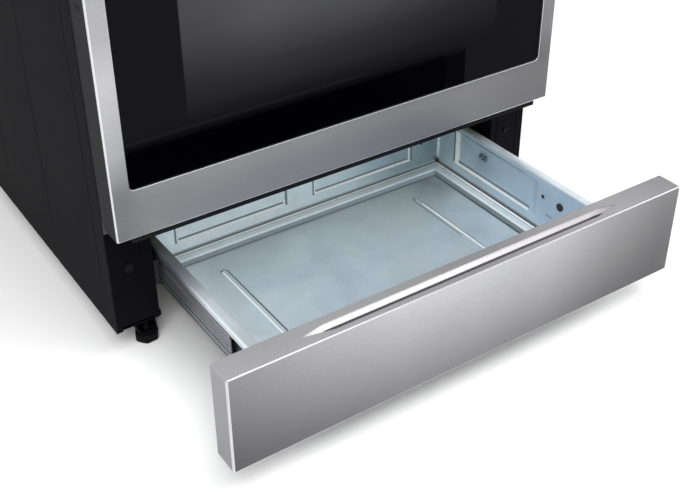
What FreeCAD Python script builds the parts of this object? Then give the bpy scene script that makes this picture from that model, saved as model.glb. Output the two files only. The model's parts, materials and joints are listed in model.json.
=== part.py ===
import FreeCAD, Part
import os
from math import sin, cos, radians, degrees, atan2, hypot

V = FreeCAD.Vector
os.makedirs("parts", exist_ok=True)

# ---------------------------------------------------------------- dimensions
# millimetres, +Z up, floor at z = 0.  Depths "y" below are measured from the
# oven door's outer face, positive towards the wall; YF moves them to the row.
YF = -180.0            # row position of the door's outer face
HALF_W = 379.0         # half width over the side panels
BODY_FRONT = 51.0      # front edge of the side panels
BODY_REAR = 650.0      # outer face of the rear panel
BODY_LOW = 44.0        # lower edge of the cabinet
BODY_TOP = 864.5       # upper edge of the cabinet panels
SHEET = 1.2            # panel sheet
POST_Y = 52.0          # front plane of the posts and of the oven front frame
POST_IN = 311.0        # inner edge of a front post

FOOT_X, FOOT_YF, FOOT_YR = 326.0, 75.0, 607.0
FOOT_AF = 33.0         # foot hexagon across flats
FOOT_H = 14.0          # foot hexagon height
FOOT_STEM_R = 6.0      # threaded stem
FOOT_CLEAR = 0.05      # running clearance of the stem in its bracket

DOOR_HW = 378.0        # door half width
DOOR_LOW, DOOR_TOP = 229.0, 768.0
DOOR_T = 48.0          # door thickness
WIN_HW = 352.0         # window opening in the steel face, half width
WIN_LOW, WIN_TOP = 301.4, 702.0
WIN_R = 7.0            # its corner radius
INNER_WIN_HW, INNER_WIN_LOW, INNER_WIN_TOP = 260.0, 385.0, 650.0
HINGE_Y, HINGE_Z = 24.0, 239.0
HINGE_X0, HINGE_X1 = 343.0, 347.0
PIN_R, PIN_CLEAR = 4.0, 0.05
HANDLE_Y, HANDLE_Z, HANDLE_R, HANDLE_HL = -48.0, 738.0, 14.0, 345.0

DRAWER_OUT = 290.0     # how far the drawer stands open at rest
DF_T = 39.3            # drawer front thickness
DF_LOW, DF_TOP = 56.0, 203.0
SLIDE_LOW, SLIDE_TOP = 99.5, 141.5   # outer height of the drawer slides
MID_FRONT, MID_REAR = -149.0, 265.0  # middle members as shown, drawer 290 open
PAN_IN = 285.0         # pan inner half width
PAN_RIM = 154.4        # pan rim height
PAN_LEDGE = 64.4
PAN_FLOOR = 54.4
PAN_BACK = 158.0       # inner face of the pan's back wall
PAN_T = 1.2
PAN_FLANGE = 15.5

LINER_HW = 300.0       # oven cavity half width
LINER_LOW, LINER_TOP, LINER_REAR = 257.5, 702.5, 520.5
LINER_T = 1.5
RACK_LEVELS = [340.0, 400.0, 460.0, 520.0, 580.0, 640.0]
RACK_LOW_LEVEL, RACK_HIGH_LEVEL = 340.0, 520.0

DECK_TOP = 893.0       # cooktop surface
DECK_FRONT, DECK_REAR = -12.0, 589.5
BURNERS = [(-190.0, 150.0), (190.0, 150.0), (-190.0, 440.0), (190.0, 440.0)]
KNOB_X = [-285.0, -125.0, 125.0, 285.0]
FACE_A = (-26.0, 782.0)   # lower edge of the sloped control face (y, z)
FACE_B = (-10.0, 864.0)   # upper edge
GUARD_TOP = 1168.0


# ------------------------------------------------------------------- helpers
def box(x0, x1, y0, y1, z0, z1):
    return Part.makeBox(x1 - x0, y1 - y0, z1 - z0, V(x0, y0 + YF, z0))


def cyl(x, y, z, r, h, ax):
    return Part.makeCylinder(r, h, V(x, y + YF, z), V(*ax))


def poly(points, vec):
    w = Part.makePolygon(points + [points[0]])
    return Part.Face(w).extrude(vec)


def prism_x(pts, x0, x1):
    return poly([V(x0, p[0] + YF, p[1]) for p in pts], V(x1 - x0, 0, 0))


def prism_y(pts, y0, y1):
    return poly([V(p[0], y0 + YF, p[1]) for p in pts], V(0, y1 - y0, 0))


def prism_z(pts, z0, z1):
    return poly([V(p[0], p[1] + YF, z0) for p in pts], V(0, 0, z1 - z0))


def rounded_y(x0, x1, z0, z1, r, y0, y1):
    """Rectangular plate with rounded corners, extruded along Y."""
    b = box(x0, x1, y0, y1, z0, z1)
    es = [e for e in b.Edges if abs(e.Vertexes[0].Y - e.Vertexes[1].Y) > 0.5 * abs(y1 - y0)]
    return b.makeFillet(r, es)


def frustum(axis, a0, r0, a1, r1):
    """Bevelled block between two rectangles (u0, u1, v0, v1) along an axis."""
    def pts(a, r):
        u0, u1, v0, v1 = r
        out = []
        for u, v in ((u0, v0), (u1, v0), (u1, v1), (u0, v1)):
            if axis == "x":
                out.append(V(a, u + YF, v))
            elif axis == "y":
                out.append(V(u, a + YF, v))
            else:
                out.append(V(u, v + YF, a))
        return out
    p, q = pts(a0, r0), pts(a1, r1)
    faces = [Part.Face(Part.makePolygon(p + [p[0]])), Part.Face(Part.makePolygon(q + [q[0]]))]
    for i in range(4):
        j = (i + 1) % 4
        faces.append(Part.Face(Part.makePolygon([p[i], p[j], q[j], q[i], p[i]])))
    s = Part.Solid(Part.Shell(faces))
    if s.Volume < 0:
        s.reverse()
    return s


def fuse(parts):
    a = parts[0]
    if len(parts) > 1:
        a = a.multiFuse(parts[1:])
    return a.removeSplitter()


def cut(a, tools):
    for t in tools:
        a = a.cut(t)
    return a.removeSplitter()


def mirror(s):
    return s.mirror(V(0, 0, 0), V(1, 0, 0))


def save(name, shapes):
    solids = []
    for s in (shapes if isinstance(shapes, list) else [shapes]):
        solids += list(s.Solids)
    out = solids[0] if len(solids) == 1 else Part.makeCompound(solids)
    ok = all(s.isValid() for s in solids)
    out.exportStep("parts/%s.step" % name)
    bb = out.BoundBox
    print("%-24s solids %d valid %s vol %.0f  x %.1f..%.1f y %.1f..%.1f z %.1f..%.1f" % (
        name, len(solids), ok, sum(s.Volume for s in solids),
        bb.XMin, bb.XMax, bb.YMin, bb.YMax, bb.ZMin, bb.ZMax))


def both(s):
    return [s, mirror(s)]


# ------------------------------------------------------- cabinet: side panels
side = fuse([
    box(-HALF_W, -HALF_W + SHEET, BODY_FRONT, BODY_REAR, BODY_LOW, BODY_TOP),
    box(-HALF_W + SHEET, -365, BODY_REAR - 2.8, BODY_REAR - 1.4, BODY_LOW, BODY_TOP),
])
# pressed vertical lines in the outer face
side = cut(side, [
    box(-HALF_W - 1, -HALF_W + 0.5, 82, 85, 122, 820),
    box(-HALF_W - 1, -HALF_W + 0.5, 274, 277, 122, 820),
    box(-HALF_W - 1, -HALF_W + 0.5, 466, 469, 122, 820),
])
save("side_panel_left", side)
save("side_panel_right", mirror(side))

# ----------------------------------------------------------------- rear panel
rear = box(-377.6, 377.6, BODY_REAR - SHEET, BODY_REAR, BODY_LOW, BODY_TOP)
slots = [box(-260 + 52 * i, -222 + 52 * i, BODY_REAR - 3, BODY_REAR + 1, 800, 806) for i in range(10)]
slots += [box(-260 + 52 * i, -222 + 52 * i, BODY_REAR - 3, BODY_REAR + 1, 820, 826) for i in range(10)]
rear = cut(rear, slots + [
    cyl(-250, BODY_REAR - 3, 110, 20, 5, (0, 1, 0)),
    box(222, 278, BODY_REAR - 3, BODY_REAR + 1, 90, 130),
])
save("rear_panel", rear)

# ------------------------------------------- base frame with the foot brackets
def hopper(t, b):
    """Straight-sided taper between two level rectangles (x0, x1, y0, y1, z)."""
    def wire(r):
        x0, x1, y0, y1, z = r
        return Part.makePolygon([V(x0, y0 + YF, z), V(x1, y0 + YF, z), V(x1, y1 + YF, z), V(x0, y1 + YF, z), V(x0, y0 + YF, z)])
    return Part.makeLoft([wire(b), wire(t)], True, True)


def bracket(sx, fy):
    """Tapered foot bracket below the frame plate: two leaning cheeks, a back and a sole; its outer side is open."""
    d = 1 if fy < 300 else -1
    def ys(u0, u1):
        return (fy + d * u0, fy + d * u1) if d > 0 else (fy + d * u1, fy + d * u0)
    def lean(z, x_low, x_high):
        return x_low + (x_high - x_low) * (z - FOOT_H - 1.6) / (46.0 - FOOT_H - 1.6)
    z0, z1, zc = FOOT_H + 1.6, 46.0, FOOT_H + 4.8
    y0, y1 = ys(-14.0, 14.0)
    c0, c1 = ys(-20.0, 12.0)
    out = hopper((-350.0, -315.4, y0, y1, z1), (-339.4, -312.4, y0, y1, z0))
    cav = hopper((lean(45.4, -339.4, -350.0) + 2.0, lean(45.4, -312.4, -315.4) - 2.0, c0, c1, 45.4),
                 (lean(zc, -339.4, -350.0) + 2.0, lean(zc, -312.4, -315.4) - 2.0, c0, c1, zc))
    s = out.cut(cav)
    return s if sx < 0 else mirror(s)


frame_parts = [
    box(-377.6, -331, 54, 647, 45.4, 47.4), box(331, 377.6, 54, 647, 45.4, 47.4),
    box(-377.6, -314.6, 54, 100, 45.4, 47.4), box(314.6, 377.6, 54, 100, 45.4, 47.4),
    box(-377.6, 377.6, 590, 647, 45.4, 47.4),
    box(-331.6, -330, 99, 591.6, 45.4, 75), box(330, 331.6, 99, 591.6, 45.4, 75),
    box(-331.6, 331.6, 590, 591.6, 45.4, 75),
    bracket(-1, FOOT_YF), bracket(1, FOOT_YF), bracket(-1, FOOT_YR), bracket(1, FOOT_YR),
]
frame = fuse(frame_parts)
holes = []
for sx in (-1, 1):
    for fy in (FOOT_YF, FOOT_YR):
        holes.append(cyl(sx * FOOT_X, fy, FOOT_H + 1, FOOT_STEM_R + FOOT_CLEAR, 4.6, (0, 0, 1)))
        holes.append(cyl(sx * FOOT_X, fy, 44, 8.0, 5, (0, 0, 1)))
frame = cut(frame, holes)
save("base_frame", frame)

# ------------------------------------------------------------- levelling feet
def foot(sx, fy):
    r = FOOT_AF / 2 / cos(radians(30))
    pts = [(sx * FOOT_X + r * cos(radians(60 * i + 7)), fy + r * sin(radians(60 * i + 7))) for i in range(6)]
    hexa = prism_z(pts, 0, FOOT_H)
    return fuse([hexa, cyl(sx * FOOT_X, fy, FOOT_H - 1, FOOT_STEM_R, 71, (0, 0, 1))])


save("leveling_foot_front_left", foot(-1, FOOT_YF))
save("leveling_foot_front_right", foot(1, FOOT_YF))
save("leveling_foot_rear_left", foot(-1, FOOT_YR))
save("leveling_foot_rear_right", foot(1, FOOT_YR))

# ---------------------------------------------------------------- front posts
post = fuse([
    box(-377.6, -POST_IN, POST_Y, POST_Y + 1.5, 52.3, 212),
    box(-377.6, -369.0, POST_Y, POST_Y + 1.5, 44.4, 53),
    prism_y([(-319.4, 47.8), (-310.6, 47.8), (-308.4, 50.0), (-308.4, 58.0), (-311.0, 61.4), (-319.4, 61.4)], POST_Y, POST_Y + 1.5),
    box(-POST_IN - 1.5, -POST_IN, POST_Y + 1.5, 95, 52.3, 212),
    box(-377.6, -376.1, POST_Y + 1.5, 90, 49, 212),
])
post_l = cut(post, [
    box(-332, -327, POST_Y - 1, POST_Y + 0.8, 96, 186),
    box(-370, -364, POST_Y - 1, POST_Y + 0.8, 110, 180),
    cyl(-349, POST_Y - 1, 150.4, 3.2, 4, (0, 1, 0)),
])
post_r = cut(mirror(post), [
    box(318, 323, POST_Y - 1, POST_Y + 0.8, 96, 186),
    box(360, 366, POST_Y - 1, POST_Y + 0.8, 110, 180),
    cyl(341.5, POST_Y - 1, 155.9, 2.6, 4, (0, 1, 0)),
])
save("front_post_left", post_l)
save("front_post_right", post_r)


def hexhead(x, z, af, shank_r, hh):
    r = af / 2 / cos(radians(30))
    pts = [(x + r * cos(radians(60 * i)), z + r * sin(radians(60 * i))) for i in range(6)]
    return fuse([prism_y(pts, POST_Y - hh, POST_Y), cyl(x, POST_Y - 0.5, z, shank_r, 10, (0, 1, 0))])


save("post_screws", [hexhead(-349, 150.4, 13, 3.2, 4.0), hexhead(341.5, 155.9, 8, 2.6, 2.6)])

# -------------------------------------------------- drawer slides, fixed parts
def c_channel(web0, web1, lip_in, z0, z1, t, y0, y1):
    """C-section drawer slide member on the left side, opening inwards."""
    return fuse([
        box(-web1, -web0, y0, y1, z0, z1),
        box(-web0, -lip_in, y0, y1, z0, z0 + t),
        box(-web0, -lip_in, y0, y1, z1 - t, z1),
    ])


support = fuse([
    box(-304.6, -303.0, 56, 600, 98, 144),
    box(-310.8, -304.6, 56, 57.6, 100, 142),
    box(-377.4, -304.6, 100, 598, 98, 99.6),
])
save("slide_supports", both(support))
cab = fuse([c_channel(301.8, 303.0, 292.0, SLIDE_LOW, SLIDE_TOP, 1.2, 53, 470),
            box(-303.0, -301.8, 43, 54, 118, 139)])
cab = cut(cab, [cyl(-304, 66, 121, 3.0, 4, (1, 0, 0)), cyl(-304, 440, 121, 3.0, 4, (1, 0, 0)),
                cyl(-304, 47.5, 127, 2.2, 4, (1, 0, 0))])
save("slide_cabinet_members", both(cab))

# ------------------------------------------------------------ oven front frame
ovf = box(-377.6, 377.6, POST_Y, POST_Y + 2, 214.5, 772)
ovf = cut(ovf, [
    rounded_y(-299, 299, 262, 701, 18, POST_Y - 1, POST_Y + 3),
    box(-349, -341, POST_Y - 1, POST_Y + 3, 226, 252),
    box(341, 349, POST_Y - 1, POST_Y + 3, 226, 252),
])
save("oven_front_frame", ovf)

# ---------------------------------------------------- oven liner, rack guides
liner = cut(
    box(-LINER_HW - LINER_T, LINER_HW + LINER_T, POST_Y + 2, LINER_REAR + LINER_T, LINER_LOW - LINER_T, LINER_TOP + LINER_T),
    [box(-LINER_HW, LINER_HW, POST_Y, LINER_REAR, LINER_LOW, LINER_TOP)])
ledges = []
for lz in RACK_LEVELS:
    for sx in (-1, 1):
        b = box(-LINER_HW - 0.5, -291, 72, 500, lz - 3.5, lz - 0.5)
        ledges.append(b if sx < 0 else mirror(b))
for sx in (-1, 1):
    b = box(-LINER_HW - 0.5, -294, 62, 516, 284, 287)
    ledges.append(b if sx < 0 else mirror(b))
liner = fuse([liner] + ledges)
save("oven_liner", liner)
ins = cut(box(-338, 338, 57, 560, 214.5, 745),
          [box(-302, 302, 56, 522.5, LINER_LOW - 2, LINER_TOP + 2)])
save("oven_insulation", ins)
floor_slots = [box(-240 + 60 * i, -236 + 60 * i, 110, 190, 286, 290) for i in range(9)]
floor_slots += [box(-240 + 60 * i, -236 + 60 * i, 380, 460, 286, 290) for i in range(9)]
save("oven_floor_panel", cut(box(-299, 299, 60, 518, 287.2, 288.8), floor_slots))

# -------------------------------------------------------------- oven burners
bake = fuse([cyl(0, 100, 271, 12, 415, (0, 1, 0)), cyl(-170, 150, 271, 10, 340, (1, 0, 0)),
             cyl(-170, 400, 271, 10, 340, (1, 0, 0)),
             box(-8, 8, 180, 196, 257.6, 265), box(-8, 8, 440, 456, 257.6, 265)])
save("bake_burner", bake)
broil = fuse([box(-140, 140, 140, 400, 676, 682), cyl(0, 396, 679, 12, 122, (0, 1, 0)),
              box(-150, -140, 140, 400, 670, 684), box(140, 150, 140, 400, 670, 684),
              box(-20, 20, 150, 160, 682, 702.4), box(-20, 20, 380, 390, 682, 702.4)])
save("broil_burner", broil)
LAMP_Z = 670.0
lamp = fuse([cyl(-225, LINER_REAR, LAMP_Z, 27, 7, (0, -1, 0)),
             Part.makeSphere(22, V(-225, LINER_REAR - 7 + YF, LAMP_Z), V(0, -1, 0), 0, 90, 360)])
save("oven_lamp", lamp)

# ---------------------------------------------------------------- oven racks
def rack(level):
    z = level
    bars = [box(-297.5, -291.5, 74, 502, z, z + 6), box(291.5, 297.5, 74, 502, z, z + 6),
            box(-297.5, 297.5, 74, 80, z, z + 6), box(-297.5, 297.5, 496, 502, z, z + 6),
            box(-292, 292, 284, 290, z, z + 5)]
    n = 15
    for i in range(n):
        x = -266 + 532.0 * i / (n - 1)
        bars.append(box(x - 2, x + 2, 76, 500, z + 2, z + 6))
    return fuse(bars)


save("oven_rack_lower", rack(RACK_LOW_LEVEL))
save("oven_rack_upper", rack(RACK_HIGH_LEVEL))

# ------------------------------------------------------------ door hinge arms
arm = fuse([
    cyl(-HINGE_X1, HINGE_Y, HINGE_Z, 9, HINGE_X1 - HINGE_X0, (1, 0, 0)),
    box(-HINGE_X1, -HINGE_X0, HINGE_Y, 120, HINGE_Z - 9, HINGE_Z + 9),
    cyl(-351.5, HINGE_Y, HINGE_Z, PIN_R, 13, (1, 0, 0)),
    box(-354, -338.5, POST_Y + 2, POST_Y + 4.5, 222, 256),
])
save("hinge_arms", both(arm))

# ------------------------------------------------------------------ oven door
wy = 1.2
skin = fuse([
    box(-DOOR_HW, DOOR_HW, 0, wy, DOOR_LOW, DOOR_TOP),
    box(-DOOR_HW, -DOOR_HW + 1.3, wy, 3.0, DOOR_LOW, DOOR_TOP),
    box(DOOR_HW - 1.3, DOOR_HW, wy, 3.0, DOOR_LOW, DOOR_TOP),
    box(-DOOR_HW, DOOR_HW, wy, 20, DOOR_TOP - 1.2, DOOR_TOP),
    box(-DOOR_HW, DOOR_HW, wy, 3.0, DOOR_LOW, DOOR_LOW + 1.2),
    rounded_y(-WIN_HW - 1.3, WIN_HW + 1.3, WIN_LOW - 1.3, WIN_TOP + 1.3, WIN_R + 1.3, wy - 0.5, 3.8),
])
skin = cut(skin, [rounded_y(-WIN_HW, WIN_HW, WIN_LOW, WIN_TOP, WIN_R, -1, 5)])
save("door_skin", skin)

side_pl = box(-DOOR_HW, -DOOR_HW + 1.4, 3.2, DOOR_T, DOOR_LOW, DOOR_TOP - 0.0)
side_pl = cut(side_pl, [box(-DOOR_HW - 1, -DOOR_HW + 3, 0, 20.2, DOOR_TOP - 1.4, DOOR_TOP + 1)])
e = [e for e in side_pl.Edges if all(abs(v.Y - (DOOR_T + YF)) < 0.01 and abs(v.Z - DOOR_LOW) < 0.01 for v in e.Vertexes)]
side_pl = side_pl.makeFillet(10, e)
side_pl = cut(side_pl, [box(-DOOR_HW - 1, -DOOR_HW + 3, 16 + 4.4 * i, 18 + 4.4 * i, 547, 556) for i in range(4)])
save("door_side_plates", both(side_pl))

inner = box(-376.4, 376.4, DOOR_T - 2, DOOR_T, 232, DOOR_TOP - 0.4)
inner = cut(inner, [
    rounded_y(-INNER_WIN_HW, INNER_WIN_HW, INNER_WIN_LOW, INNER_WIN_TOP, 12, 40, 50),
    box(-349.5, -340.5, 40, 50, 225, 262), box(340.5, 349.5, 40, 50, 225, 262),
])
save("door_inner_panel", inner)
save("door_glass_outer", box(-358, 358, 4, 8, 296, 708))
save("door_glass_inner", box(-274, 274, 42, 46, 371, 664))
wf = fuse([
    cut(box(-262, 262, 8.2, 41.8, 383, 652), [box(-260.5, 260.5, 5, 45, 384.5, 650.5)]),
    cut(box(-274, 274, 40.3, 41.8, 371, 664), [box(-260.5, 260.5, 38, 45, 384.5, 650.5)]),
])
save("door_window_frame", wf)
gas = cut(rounded_y(-312, 312, 250, 713, 20, DOOR_T, 51.7), [rounded_y(-306, 306, 256, 707, 14, 47, 53)])
save("door_gasket", gas)
tslots = [box(-340 + 70 * i, -296 + 70 * i, 28, 38, 760, 770) for i in range(10)]
save("door_top_trim", cut(box(-376.4, 376.4, 20.4, 45.8, DOOR_TOP - 3, DOOR_TOP - 0.2), tslots))
btrim = cut(box(-355, 355, 4, 40, 219.4, 228.8), [
    box(-353.5, 353.5, 5.5, 38.5, 221, 230),
    box(-349.5, -340.5, 11, 42, 218, 230), box(340.5, 349.5, 11, 42, 218, 230)])
save("door_bottom_trim", btrim)
chan = fuse([
    box(-351.6, -338.4, 9.5, 11, 230.4, 340),
    box(-351.6, -350, 11, 45.8, 230.4, 340),
    box(-340, -338.4, 11, 45.8, 230.4, 340),
])
chan = cut(chan, [cyl(-353, HINGE_Y, HINGE_Z, PIN_R + PIN_CLEAR, 16, (1, 0, 0))])
save("door_hinge_channels", both(chan))
bar = cyl(-HANDLE_HL, HANDLE_Y, HANDLE_Z, HANDLE_R, 2 * HANDLE_HL, (1, 0, 0))
save("door_handle_bar", bar)
hm = cut(box(-330, -306, HANDLE_Y, 0, HANDLE_Z - 11, HANDLE_Z + 11),
         [cyl(-335, HANDLE_Y, HANDLE_Z, HANDLE_R + 0.02, 40, (1, 0, 0))])
hm = [s for s in hm.Solids if s.BoundBox.YMax > YF - 1][0]
save("door_handle_mounts", both(hm))

# ------------------------------------------------------------- storage drawer
D0 = -DRAWER_OUT
D1 = D0 + DF_T
sk = cut(box(-DOOR_HW, DOOR_HW, D0, D1, DF_LOW, DF_TOP),
         [box(-DOOR_HW + 1.2, DOOR_HW - 1.2, D0 + 1.2, D1 + 1, DF_LOW + 1.2, DF_TOP - 1.2)])
e = [e for e in sk.Edges if all(abs(v.Y - (D0 + YF)) < 0.01 for v in e.Vertexes)
     and (all(abs(v.Z - DF_TOP) < 0.01 for v in e.Vertexes) or all(abs(v.Z - DF_LOW) < 0.01 for v in e.Vertexes))]
sk = sk.makeFillet(1.0, e)
# finger scoop mouth in the top edge
mouth = [(-231, D0 + 26), (232, D0 + 26), (266, D0 + 18.5), (219, D0 + 9.5), (-221, D0 + 9.5), (-265, D0 + 18.5)]
sk = cut(sk, [prism_z(mouth, DF_TOP - 3, DF_TOP + 1)])
save("drawer_front_skin", sk)
# moulded scoop under the mouth: slopes down to the front, hooked under the lip
prof_o = [(D0 + 28.5, DF_TOP - 1.25), (D0 + 28.5, DF_TOP - 4), (D0 + 8, DF_TOP - 27), (D0 + 3, DF_TOP - 27),
          (D0 + 3, DF_TOP - 1.25)]
prof_i = [(D0 + 26.6, DF_TOP), (D0 + 26.6, DF_TOP - 3.2), (D0 + 7.4, DF_TOP - 25), (D0 + 4.6, DF_TOP - 25),
          (D0 + 4.6, DF_TOP)]
scoop = cut(prism_x(prof_o, -270, 270), [prism_x(prof_i, -268.4, 268.4)])
save("drawer_pull_insert", scoop)
back = cut(box(-376.6, 376.6, D1 - 1.6, D1, DF_LOW + 1.4, DF_TOP - 1.4),
           [cyl(-300, D1 - 3, 121, 3, 5, (0, 1, 0)), cyl(300, D1 - 3, 121, 3, 5, (0, 1, 0))])
save("drawer_front_back", back)

# pan: rimmed tray with a stepped floor, pressed panels and beads
PF = D1                       # pan front plane
t = PAN_T
outer = [box(-PAN_IN - t, PAN_IN + t, PF, PAN_BACK + t, PAN_LEDGE - t, PAN_RIM),
         frustum("z", PAN_LEDGE - t + 0.5, (-PAN_IN + 22 - t, PAN_IN - 22 + t, PF + 22 - t, PAN_BACK - 22 + t),
                 PAN_FLOOR - t, (-PAN_IN + 26 - t, PAN_IN - 26 + t, PF + 26 - t, PAN_BACK - 26 + t)),
         # rim flanges and their turned-down lips
         box(-PAN_IN - PAN_FLANGE, PAN_IN + PAN_FLANGE, PF, PAN_BACK + PAN_FLANGE, PAN_RIM - t, PAN_RIM),
         box(-PAN_IN - PAN_FLANGE, -PAN_IN - PAN_FLANGE + t, PF, PAN_BACK + PAN_FLANGE, PAN_RIM - 12, PAN_RIM),
         box(PAN_IN + PAN_FLANGE - t, PAN_IN + PAN_FLANGE, PF, PAN_BACK + PAN_FLANGE, PAN_RIM - 12, PAN_RIM),
         box(-PAN_IN - PAN_FLANGE, PAN_IN + PAN_FLANGE, PAN_BACK + PAN_FLANGE - t, PAN_BACK + PAN_FLANGE, PAN_RIM - 12, PAN_RIM)]
for sx in (-1, 1):
    f = frustum("x", -PAN_IN - t + 0.6, (-96, 116, 84, 146), -PAN_IN - t - 4, (-84, 104, 92, 142))
    outer.append(f if sx < 0 else mirror(f))
for a, b in ((-225, -31), (27.6, 223.4)):
    outer.append(frustum("y", PAN_BACK + t - 0.6, (a - 6, b + 6, 82, 138), PAN_BACK + t + 3, (a + t, b - t, 88, 132)))
pan = fuse(outer)
inner_cuts = [box(-PAN_IN, PAN_IN, PF + t, PAN_BACK, PAN_LEDGE, PAN_RIM + 5),
              frustum("z", PAN_LEDGE + 1, (-PAN_IN + 21.6, PAN_IN - 21.6, PF + 21.6, PAN_BACK - 21.6),
                      PAN_FLOOR, (-PAN_IN + 26, PAN_IN - 26, PF + 26, PAN_BACK - 26))]
for sx in (-1, 1):
    f = frustum("x", -PAN_IN + 1, (-94, 114, 86, 144), -PAN_IN - 4, (-83, 103, 93, 141))
    inner_cuts.append(f if sx < 0 else mirror(f))
for a, b in ((-225, -31), (27.6, 223.4)):
    inner_cuts.append(frustum("y", PAN_BACK - 1, (a - 5, b + 5, 83, 137), PAN_BACK + 3, (a + t, b - t, 88.5, 131.5)))
for sx in (-1, 1):
    inner_cuts.append(box(sx * PAN_IN - 4, sx * PAN_IN + 4, -110.7, -104.7, 121.4, 127.4))
    inner_cuts.append(cyl(sx * PAN_IN - 4, -146.4, 124.4, 5.5, 8, (1, 0, 0)))
pan = cut(pan, inner_cuts)
beads = []
for sx in (-1, 1):
    bx = sx * 184.0
    beads += [box(bx - 4.2, bx + 4.2, -200, 87, PAN_FLOOR - 0.5, PAN_FLOOR + 2.6),
              cyl(bx, -200, PAN_FLOOR - 0.5, 4.2, 3.1, (0, 0, 1)), cyl(bx, 87, PAN_FLOOR - 0.5, 4.2, 3.1, (0, 0, 1))]
pan = fuse([pan] + beads)
save("drawer_pan", pan)
plug = fuse([cyl(-PAN_IN, -146.4, 124.4, 6.8, 1.6, (1, 0, 0)), cyl(-PAN_IN - t, -146.4, 124.4, 5.4, 2.0, (1, 0, 0))])
save("pan_hole_plugs", both(plug))
drm = fuse([
    box(-291.6, -290.4, -248, 160, SLIDE_LOW + 5, SLIDE_TOP - 5),
    box(-295.0, -291.6, -248, 160, SLIDE_LOW + 5, SLIDE_LOW + 6.3),
    box(-295.0, -291.6, -248, 160, SLIDE_TOP - 6.3, SLIDE_TOP - 5),
    box(-290.4, -286.25, -250.6, -246.8, 112, 130),
])
save("slide_drawer_members", both(drm))
MZ0, MZ1 = SLIDE_LOW + 2.2, SLIDE_TOP - 2.2
mid = fuse([
    box(-298.0, -296.6, MID_FRONT, MID_REAR, MZ0, MZ1),
    box(-300.2, -298.0, MID_FRONT, MID_REAR, MZ0, MZ0 + 1.3),
    box(-300.2, -298.0, MID_FRONT, MID_REAR, MZ1 - 1.3, MZ1),
    box(-296.6, -293.4, MID_FRONT, MID_REAR, MZ0, MZ0 + 1.3),
    box(-296.6, -293.4, MID_FRONT, MID_REAR, MZ1 - 1.3, MZ1),
])
mid = cut(mid, [cyl(-300, MID_FRONT + 9, 118, 1.8, 6, (1, 0, 0))])
save("slide_middle_members", both(mid))

# ---------------------------------------------- control panel, valves, knobs
outer_p = [(50, 776), (-20, 776), FACE_A, FACE_B, (50, 864)]
inner_p = [(51, 777.5), (-19.4, 777.5), (-24.3, 782.4), (-8.7, 862.5), (51, 862.5)]
fas = cut(prism_x(outer_p, -HALF_W, HALF_W), [prism_x(inner_p, -HALF_W + 2, HALF_W - 2)])
tilt = atan2(FACE_B[0] - FACE_A[0], FACE_B[1] - FACE_A[1])
ny, nz = -cos(tilt), sin(tilt)
KY, KZ = (FACE_A[0] + FACE_B[0]) / 2, (FACE_A[1] + FACE_B[1]) / 2


def on_face(shape, x):
    """Local +Z (outward from the control face) placed at a knob station."""
    s = shape.copy()
    s.rotate(V(0, 0, 0), V(1, 0, 0), degrees(atan2(-ny, nz)))
    s.translate(V(x, KY + YF, KZ))
    return s


fas = cut(fas, [on_face(Part.makeCylinder(6, 12, V(0, 0, -6)), x) for x in KNOB_X])
save("control_fascia", fas)
MAN_D = 44.0
MAN_Y, MAN_Z, MAN_R = KY - ny * MAN_D, KZ - nz * MAN_D, 9.0
man = cyl(-335, MAN_Y, MAN_Z, MAN_R, 670, (1, 0, 0))
save("gas_manifold", man)
valves = []
for x in KNOB_X:
    v = fuse([on_face(Part.makeBox(24, 24, 28, V(-12, -12, -40)), x),
              on_face(Part.makeCylinder(7, 6, V(0, 0, -13)), x),
              on_face(Part.makeCylinder(3.0, 26, V(0, 0, -8)), x)])
    v = cut(v, [cyl(-335, MAN_Y, MAN_Z, MAN_R + 0.03, 670, (1, 0, 0))])
    v = sorted(v.Solids, key=lambda s: -s.Volume)[0]
    valves.append(v)
save("gas_valves", valves)
for i, x in enumerate(KNOB_X):
    k = fuse([Part.makeCylinder(25, 4, V(0, 0, 1.2)),
              Part.makeCone(22.5, 19.5, 20, V(0, 0, 5.0)),
              Part.makeBox(11, 39, 9, V(-5.5, -19.5, 24))])
    k = k.common(Part.makeCylinder(25.5, 40, V(0, 0, 0)))
    k = k.cut(Part.makeCylinder(3.05, 20, V(0, 0, 0)))
    save("burner_knob_%d" % (i + 1), on_face(k.removeSplitter(), x))

# -------------------------------------------------------------------- cooktop
deck = cut(box(-HALF_W, HALF_W, DECK_FRONT, DECK_REAR, 865, DECK_TOP),
           [box(-HALF_W + 1.5, HALF_W - 1.5, DECK_FRONT + 1.5, DECK_REAR - 1.5, 864, DECK_TOP - 1.5)])
e = [e for e in deck.Edges if all(abs(v.Z - DECK_TOP) < 0.01 for v in e.Vertexes)]
deck = deck.makeFillet(1.2, e)
deck = cut(deck, [cyl(bx, by, 885, 25, 12, (0, 0, 1)) for bx, by in BURNERS])
save("cooktop_deck", deck)
bases, caps = [], []
for bx, by in BURNERS:
    bases.append(fuse([cyl(bx, by, 868, 24.5, 26, (0, 0, 1)), cyl(bx, by, DECK_TOP, 44, 6, (0, 0, 1)),
                       Part.makeCone(36, 33, 11, V(bx, by + YF, DECK_TOP + 6))]))
    caps.append(fuse([cyl(bx, by, DECK_TOP + 17, 37, 4, (0, 0, 1)), Part.makeCone(37, 33, 2.5, V(bx, by + YF, DECK_TOP + 21))]))
save("burner_bases", bases)
save("burner_caps", caps)


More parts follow.
